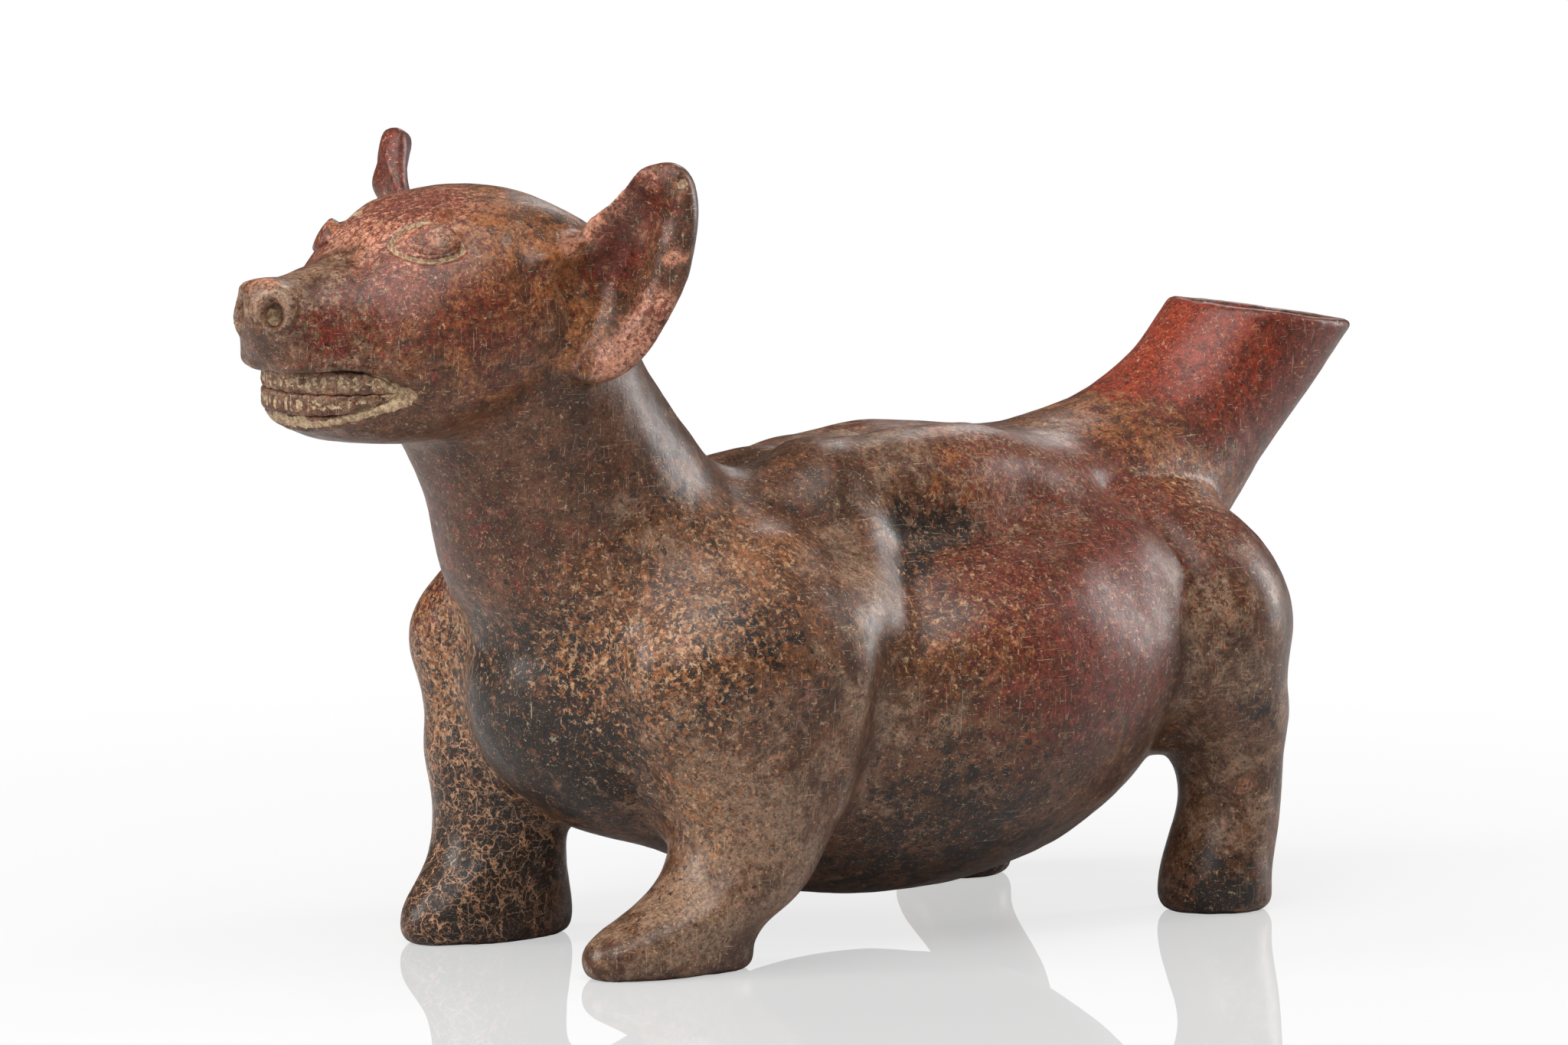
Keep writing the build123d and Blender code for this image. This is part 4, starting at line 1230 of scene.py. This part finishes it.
@dataclass
class SkinPiece:
    """One luted piece of the vessel, divided from the skin and closed."""

    name: str
    slot: str
    closing: Closing
    wall: float = 5.0
    dip: float = 3.0

    def build(self, skin: Skin, lining: Lining) -> bpy.types.Object:
        """Divide the piece from the skin.

        Args:
            skin: The finished skin.
            lining: What inner faces are measured from.

        Returns:
            The piece's object.
        """
        number = skin.clay.index(self.name)
        work = bmesh.new()
        work.from_mesh(skin.mesh)
        source = work.verts.layers.int.new("skin_number")
        for vert in work.verts:
            vert[source] = vert.index
        others = [face for face, label in zip(work.faces, skin.labels) if label != number]
        bmesh.ops.delete(work, geom=others, context="FACES")
        inner = lining.at_depth(self.wall * MM)
        if self.closing is Closing.WALLED:
            self.line(work, inner)
        else:
            self.cap(work, inner)
        mesh = bpy.data.meshes.new(self.name + "_clay")
        work.to_mesh(mesh)
        work.free()
        self.shade(mesh, lining)
        piece = bpy.data.objects.new(self.name + "_clay", mesh)
        bpy.context.scene.collection.objects.link(piece)
        return piece

    def line(self, work: bmesh.types.BMesh, inner: np.ndarray) -> None:
        """Give a hollow piece its inner face and close the rims between the two."""
        source = work.verts.layers.int["skin_number"]
        outer_faces, rims = work.faces[:], [edge for edge in work.edges if edge.is_boundary]
        twins = {vert: work.verts.new(Vector(inner[vert[source]])) for vert in work.verts[:]}
        for vert, twin in twins.items():
            twin[source] = vert[source]
        for face in outer_faces:
            work.faces.new([twins[vert] for vert in reversed(face.verts)])
        for edge in rims:
            loop = edge.link_loops[0]
            first, second = loop.vert, loop.link_loop_next.vert
            work.faces.new((second, first, twins[first], twins[second]))

    def cap(self, work: bmesh.types.BMesh, inner: np.ndarray) -> None:
        """Close each open rim of a solid piece with a fan that dips into the clay behind it."""
        source = work.verts.layers.int["skin_number"]
        heart = sum((vert.co for vert in work.verts), Vector()) / len(work.verts)
        ring = self.extruded_rim(work, [edge for edge in work.edges if edge.is_boundary])
        for vert in ring:
            vert.co = Vector(inner[vert[source]])
        loose = self.extruded_rim(work, [edge for edge in work.edges if edge.is_boundary])
        while loose:
            group = [loose.pop()]
            for vert in group:
                for edge in vert.link_edges:
                    other = edge.other_vert(vert)
                    if other in loose:
                        loose.discard(other)
                        group.append(other)
            middle = sum((vert.co for vert in group), Vector()) / len(group)
            middle += (middle - heart).normalized() * self.dip * MM
            bmesh.ops.pointmerge(work, verts=group, merge_co=middle)
        bmesh.ops.dissolve_degenerate(work, edges=work.edges[:], dist=1e-7)

    def extruded_rim(self, work: bmesh.types.BMesh, rims: list[bmesh.types.BMEdge]) -> set[bmesh.types.BMVert]:
        """Extrude open edges in place and give their new vertices."""
        made = bmesh.ops.extrude_edge_only(work, edges=rims)["geom"]
        return {item for item in made if isinstance(item, bmesh.types.BMVert)}

    def shade(self, mesh: bpy.types.Mesh, lining: Lining) -> None:
        """Shade the piece with the skin's own normals, so that its seams don't show."""
        mesh.shade_smooth()
        numbers = np.empty(len(mesh.vertices), dtype=np.int32)
        mesh.attributes["skin_number"].data.foreach_get("value", numbers)
        outer = np.linalg.norm(mesh_places(mesh) - lining.places[numbers], axis=1) < 1e-6
        corners = np.empty(len(mesh.loops), dtype=np.int32)
        mesh.loops.foreach_get("vertex_index", corners)
        sizes = np.empty(len(mesh.polygons), dtype=np.int32)
        mesh.polygons.foreach_get("loop_total", sizes)
        owners = np.repeat(np.arange(len(sizes)), sizes)
        whole = np.bincount(owners, outer[corners]) == sizes
        chosen = np.where(whole[owners][:, None], lining.normals[numbers[corners]], 0.0)
        mesh.normals_split_custom_set(chosen.tolist())
        mesh.attributes.remove(mesh.attributes["skin_number"])

    def dress(self, piece: bpy.types.Object, material: bpy.types.Material) -> None:
        """Give the piece its finish, hang it from the root and hide the solid that it replaces."""
        dress_piece(piece, material, self.name)


@dataclass
class SetPiece:
    """A small piece that is set into the skin: an eye or a row of teeth."""

    name: str
    slot: str
    voxel: float
    filling: float
    rounds: int
    lift: float
    rough: float
    crusting: float

    def build(self, nodes: dict[str, bpy.types.Object], paint: Paint) -> bpy.types.Object:
        """Round off a copy of the solid, fill its gaps and crust them.

        Args:
            nodes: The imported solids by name.
            paint: The tones to lay on.

        Returns:
            The piece's object.
        """
        voxel = self.voxel * MM
        mesh = remeshed(merged_copy(nodes, [self.name]), voxel)
        for outward in (1.0, -1.0)[: 2 if self.filling else 0]:
            mesh = swollen(mesh, lambda places: np.full(len(places), outward * self.filling * MM), 2, voxel)
        smooth_mesh(mesh, 0.5 * np.ones(len(mesh.vertices)), self.rounds, 1.02)
        places = mesh_places(mesh)
        waves = np.array([noise.fractal(Vector(place) / (1.6 * MM), 0.8, 2.0, 4) for place in places])
        place_vertices(mesh, places + mesh_normals(mesh) * ((self.lift + self.rough * waves) * MM)[:, None])
        mesh.shade_smooth()
        paint.lay_on(mesh, self.crust(mesh))
        mesh.name = self.name + "_clay"
        piece = bpy.data.objects.new(self.name + "_clay", mesh)
        bpy.context.scene.collection.objects.link(piece)
        return piece

    def crust(self, mesh: bpy.types.Mesh) -> np.ndarray:
        """How thick the crust lies at each vertex: thick in the gaps, thin on the faces."""
        places = mesh_places(mesh)
        even = np.stack(
            [spread(mesh, places[:, axis], 0.5 * np.ones(len(places)), 10) for axis in range(3)], axis=1
        )
        depth = ((even - places) * mesh_normals(mesh)).sum(axis=1) / MM
        return self.crusting * np.clip(0.52 + 6.0 * depth, 0.0, 1.0)

    def dress(self, piece: bpy.types.Object, material: bpy.types.Material) -> None:
        """Give the piece its finish, hang it from the root and hide the solid that it replaces."""
        dress_piece(piece, material, self.name)


@dataclass(frozen=True)
class Studio:
    """A white, mirroring floor, a plain world and soft lamps."""

    floor_size: float = 12.0
    world_grey: float = 0.09
    mirror_share: float = 0.27

    def build(self) -> None:
        """Make the floor, the world and the lamps."""
        self.floor()
        self.world()
        self.lamp("top_softbox", (-0.45, -0.45, 1.6), (1.7, 1.3), 27.0)
        self.lamp("front_softbox", (-1.5, -1.0, 1.2), (0.8, 0.8), 10.0)
        self.lamp("right_strip", (1.6, -0.25, 0.5), (0.3, 1.1), 17.0)
        self.lamp("left_strip", (-1.4, 0.6, 0.8), (0.5, 1.0), 18.0)
        self.lamp("rear_strip", (1.2, 1.0, 1.0), (0.3, 0.8), 3.0)

    def floor(self) -> None:
        """A white floor that mirrors the vessel faintly and keeps its shadow."""
        work = bmesh.new()
        bmesh.ops.create_grid(work, x_segments=2, y_segments=2, size=self.floor_size / 2)
        mesh = bpy.data.meshes.new("floor")
        work.to_mesh(mesh)
        work.free()
        floor = bpy.data.objects.new("floor", mesh)
        bpy.context.scene.collection.objects.link(floor)
        mesh.materials.append(self.floor_material())

    def floor_material(self) -> bpy.types.Material:
        """White where the camera sees it, with a share of shadow near the vessel."""
        material = bpy.data.materials.new("pale_floor")
        material.use_nodes = True
        tree = material.node_tree
        tree.nodes.clear()
        output = tree.nodes.new("ShaderNodeOutputMaterial")
        matt = tree.nodes.new("ShaderNodeBsdfDiffuse")
        matt.inputs["Color"].default_value = (0.6, 0.6, 0.6, 1.0)
        mirror = tree.nodes.new("ShaderNodeBsdfGlossy")
        mirror.inputs["Roughness"].default_value = 0.0
        mirror.inputs["Color"].default_value = (1.0, 1.0, 1.0, 1.0)
        glow = tree.nodes.new("ShaderNodeEmission")
        place = tree.nodes.new("ShaderNodeTexCoord")
        away = tree.nodes.new("ShaderNodeVectorMath")
        away.operation = "LENGTH"
        tree.links.new(place.outputs["Object"], away.inputs[0])
        fading = tree.nodes.new("ShaderNodeMapRange")
        tree.links.new(away.outputs["Value"], fading.inputs["Value"])
        for name, value in (("From Min", 0.15), ("From Max", 0.5), ("To Min", 0.7), ("To Max", 1.0)):
            fading.inputs[name].default_value = value
        path = tree.nodes.new("ShaderNodeLightPath")
        share = tree.nodes.new("ShaderNodeMath")
        share.operation = "MULTIPLY"
        tree.links.new(path.outputs["Is Camera Ray"], share.inputs[0])
        tree.links.new(fading.outputs["Result"], share.inputs[1])
        white = tree.nodes.new("ShaderNodeMixShader")
        tree.links.new(share.outputs["Value"], white.inputs[0])
        tree.links.new(matt.outputs[0], white.inputs[1])
        tree.links.new(glow.outputs[0], white.inputs[2])
        mirroring = tree.nodes.new("ShaderNodeMath")
        mirroring.operation = "MULTIPLY"
        mirroring.inputs[1].default_value = self.mirror_share
        tree.links.new(path.outputs["Is Camera Ray"], mirroring.inputs[0])
        surface = tree.nodes.new("ShaderNodeMixShader")
        tree.links.new(mirroring.outputs["Value"], surface.inputs[0])
        tree.links.new(white.outputs[0], surface.inputs[1])
        tree.links.new(mirror.outputs[0], surface.inputs[2])
        tree.links.new(surface.outputs[0], output.inputs["Surface"])
        return material

    def world(self) -> None:
        """A plain grey surround, white where the camera or the floor's mirror shows it."""
        world = bpy.data.worlds.new("pale_world")
        bpy.context.scene.world = world
        world.use_nodes = True
        tree = world.node_tree
        tree.nodes.clear()
        output = tree.nodes.new("ShaderNodeOutputWorld")
        soft = tree.nodes.new("ShaderNodeBackground")
        soft.inputs["Strength"].default_value = self.world_grey
        white = tree.nodes.new("ShaderNodeBackground")
        for node in (soft, white):
            node.inputs["Color"].default_value = (1.0, 1.0, 1.0, 1.0)
        path = tree.nodes.new("ShaderNodeLightPath")
        seen = tree.nodes.new("ShaderNodeMath")
        seen.operation = "MAXIMUM"
        tree.links.new(path.outputs["Is Camera Ray"], seen.inputs[0])
        tree.links.new(path.outputs["Is Singular Ray"], seen.inputs[1])
        choice = tree.nodes.new("ShaderNodeMixShader")
        tree.links.new(seen.outputs["Value"], choice.inputs[0])
        tree.links.new(soft.outputs[0], choice.inputs[1])
        tree.links.new(white.outputs[0], choice.inputs[2])
        tree.links.new(choice.outputs[0], output.inputs["Surface"])

    def lamp(self, name: str, place: Place, size: Pixel, watts: float) -> None:
        """Hang a softbox that looks at the vessel.

        Args:
            name: What it is called.
            place: Where it hangs, in metres.
            size: Its width and height in metres.
            watts: Its strength.
        """
        data = bpy.data.lights.new(name, "AREA")
        data.shape = "RECTANGLE"
        data.size, data.size_y = size
        data.energy = watts
        lamp = bpy.data.objects.new(name, data)
        lamp.location = place
        aim = Vector((0.0, 0.0, 0.11)) - Vector(place)
        lamp.rotation_mode = "QUATERNION"
        lamp.rotation_quaternion = aim.to_track_quat("-Z", "Y")
        bpy.context.scene.collection.objects.link(lamp)


PIECES = (
    SkinPiece("belly_bowl", "dark_belly_clay", Closing.WALLED),
    SkinPiece("back_vault", "burnished_red_clay", Closing.WALLED),
    SkinPiece("neck_collar", "burnished_brown_clay", Closing.WALLED),
    SkinPiece("head_shell", "burnished_brown_clay", Closing.WALLED, 3.0),
    SkinPiece("lower_jaw", "burnished_brown_clay", Closing.SOLID, 3.0),
    SkinPiece("nose_pad", "burnished_brown_clay", Closing.SOLID, 3.0),
    SkinPiece("tail_spout", "burnished_red_clay", Closing.SOLID),
    SkinPiece("ear_left", "burnished_red_clay", Closing.SOLID, 3.0),
    SkinPiece("ear_right", "burnished_red_clay", Closing.SOLID, 3.0),
    SkinPiece("foreleg_left", "burnished_brown_clay", Closing.SOLID),
    SkinPiece("foreleg_right", "burnished_brown_clay", Closing.SOLID),
    SkinPiece("hind_leg_left", "burnished_red_clay", Closing.SOLID),
    SkinPiece("hind_leg_right", "burnished_red_clay", Closing.SOLID),
)
SET_PIECES = (
    SetPiece("upper_teeth", "pale_crusted_clay", 0.40, 0.7, 4, 0.2, 0.16, 1.0),
    SetPiece("lower_teeth", "pale_crusted_clay", 0.40, 0.7, 4, 0.2, 0.16, 1.0),
    SetPiece("eye_pellet_left", "pale_crusted_clay", 0.45, 0.0, 12, 0.5, 0.04, 0.0),
    SetPiece("eye_pellet_right", "pale_crusted_clay", 0.45, 0.0, 12, 0.5, 0.04, 0.0),
)

# How softly the clay was smoothed over each seam
SEAMS = {
    frozenset(("neck_collar", "back_vault")): 1.0,
    frozenset(("neck_collar", "head_shell")): 0.8,
    frozenset(("neck_collar", "lower_jaw")): 0.8,
    frozenset(("neck_collar", "foreleg_left")): 1.0,
    frozenset(("neck_collar", "foreleg_right")): 1.0,
    frozenset(("back_vault", "tail_spout")): 1.0,
    frozenset(("hind_leg_left", "tail_spout")): 0.8,
    frozenset(("hind_leg_right", "tail_spout")): 0.8,
    frozenset(("back_vault", "belly_bowl")): 0.9,
    frozenset(("back_vault", "foreleg_left")): 0.9,
    frozenset(("back_vault", "foreleg_right")): 0.9,
    frozenset(("belly_bowl", "foreleg_left")): 0.9,
    frozenset(("belly_bowl", "foreleg_right")): 0.9,
    frozenset(("back_vault", "hind_leg_left")): 0.6,
    frozenset(("back_vault", "hind_leg_right")): 0.6,
    frozenset(("belly_bowl", "hind_leg_left")): 0.7,
    frozenset(("belly_bowl", "hind_leg_right")): 0.7,
    frozenset(("head_shell", "ear_left")): 0.45,
    frozenset(("head_shell", "ear_right")): 0.45,
    frozenset(("neck_collar", "ear_left")): 0.3,
    frozenset(("neck_collar", "ear_right")): 0.3,
    frozenset(("head_shell", "lower_jaw")): 0.3,
    frozenset(("head_shell", "nose_pad")): 0.3,
}


def work_skin(skin: Skin) -> None:
    """Take the skin from its first block to its finished surface."""
    skin.block_out(1.7)
    skin.fill_creases(9.0, 4, 1.7)
    skin.block_out(1.25, skin.mesh)
    skin.label_faces()
    body = skin.body_share(mesh_places(skin.mesh))
    skin.relax(0.5 * skin.seam_mask(SEAMS, 9), 90)
    skin.relax(0.5 * body, 9)
    skin.relax(0.5 * (1.0 - body), 6, 1.04)
    skin.hug(("ear_left", "ear_right", "tail_spout"), 4)
    for path, reach, rounds in BODY_SOFTENED:
        skin.soften(path, reach, rounds)
    skin.work_strokes(BODY_STROKES)
    skin.relax(0.4 * body, 7)
    skin.work_strokes(HEAD_STROKES)
    for path, reach, rounds in HEAD_SOFTENED:
        skin.soften(path, reach, rounds)
    skin.relax(0.5 * np.ones(len(skin.mesh.vertices)), 8, 1.04)
    refine_details(skin)
    skin.work_strokes(FINE_STROKES)
    skin.relax(0.4 * np.ones(len(skin.mesh.vertices)), 2, 1.04)
    skin.add_unevenness(17.0, 0.5)
    skin.add_unevenness(5.0, 0.12)
    skin.stand()
    skin.label_faces()
    skin.settle_labels()


def refine_details(skin: Skin) -> None:
    """Divide the clay finely round the eyes, the nostrils, the mouth and the ears' rims."""
    mouth = ((340, 500), (376, 515), (425, 520), (474, 518), (540, 518))
    for reach in (9.0, 6.0):
        clay = skin.tree()
        places = mesh_places(skin.mesh)
        near = np.zeros(len(places), dtype=bool)
        for path in (FINE_STROKES["eye_ring"].path, FINE_STROKES["nostril_pit"].path, mouth):
            for chain in skin.traced(path, Side.BOTH, clay):
                near |= distance_to_path(places, chain) < reach * MM
        skin.refine(near)


def main() -> None:
    """Build every piece in turn and report it."""
    logging.basicConfig(level=logging.INFO, format="%(message)s")
    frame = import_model()
    nodes = frame["nodes"]
    view = PhotoView()
    view.set_camera()
    bpy.context.scene.view_settings.view_transform = "Standard"
    Studio().build()
    clay_names = tuple(piece.name for piece in PIECES)
    skin = Skin(nodes, view, clay_names, ("eye_pellet_left", "eye_pellet_right"))
    work_skin(skin)
    paint = Paint(skin)
    paint.trace()
    paint.lay_on(skin.mesh)
    lining = skin.lining(40)
    material = BurnishedClay().build()
    for piece in PIECES:
        piece.dress(piece.build(skin, lining), material)
    for piece in SET_PIECES:
        piece.dress(piece.build(nodes, paint), material)
    bpy.data.meshes.remove(skin.mesh)
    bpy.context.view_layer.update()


if __name__ == "__main__":
    main()
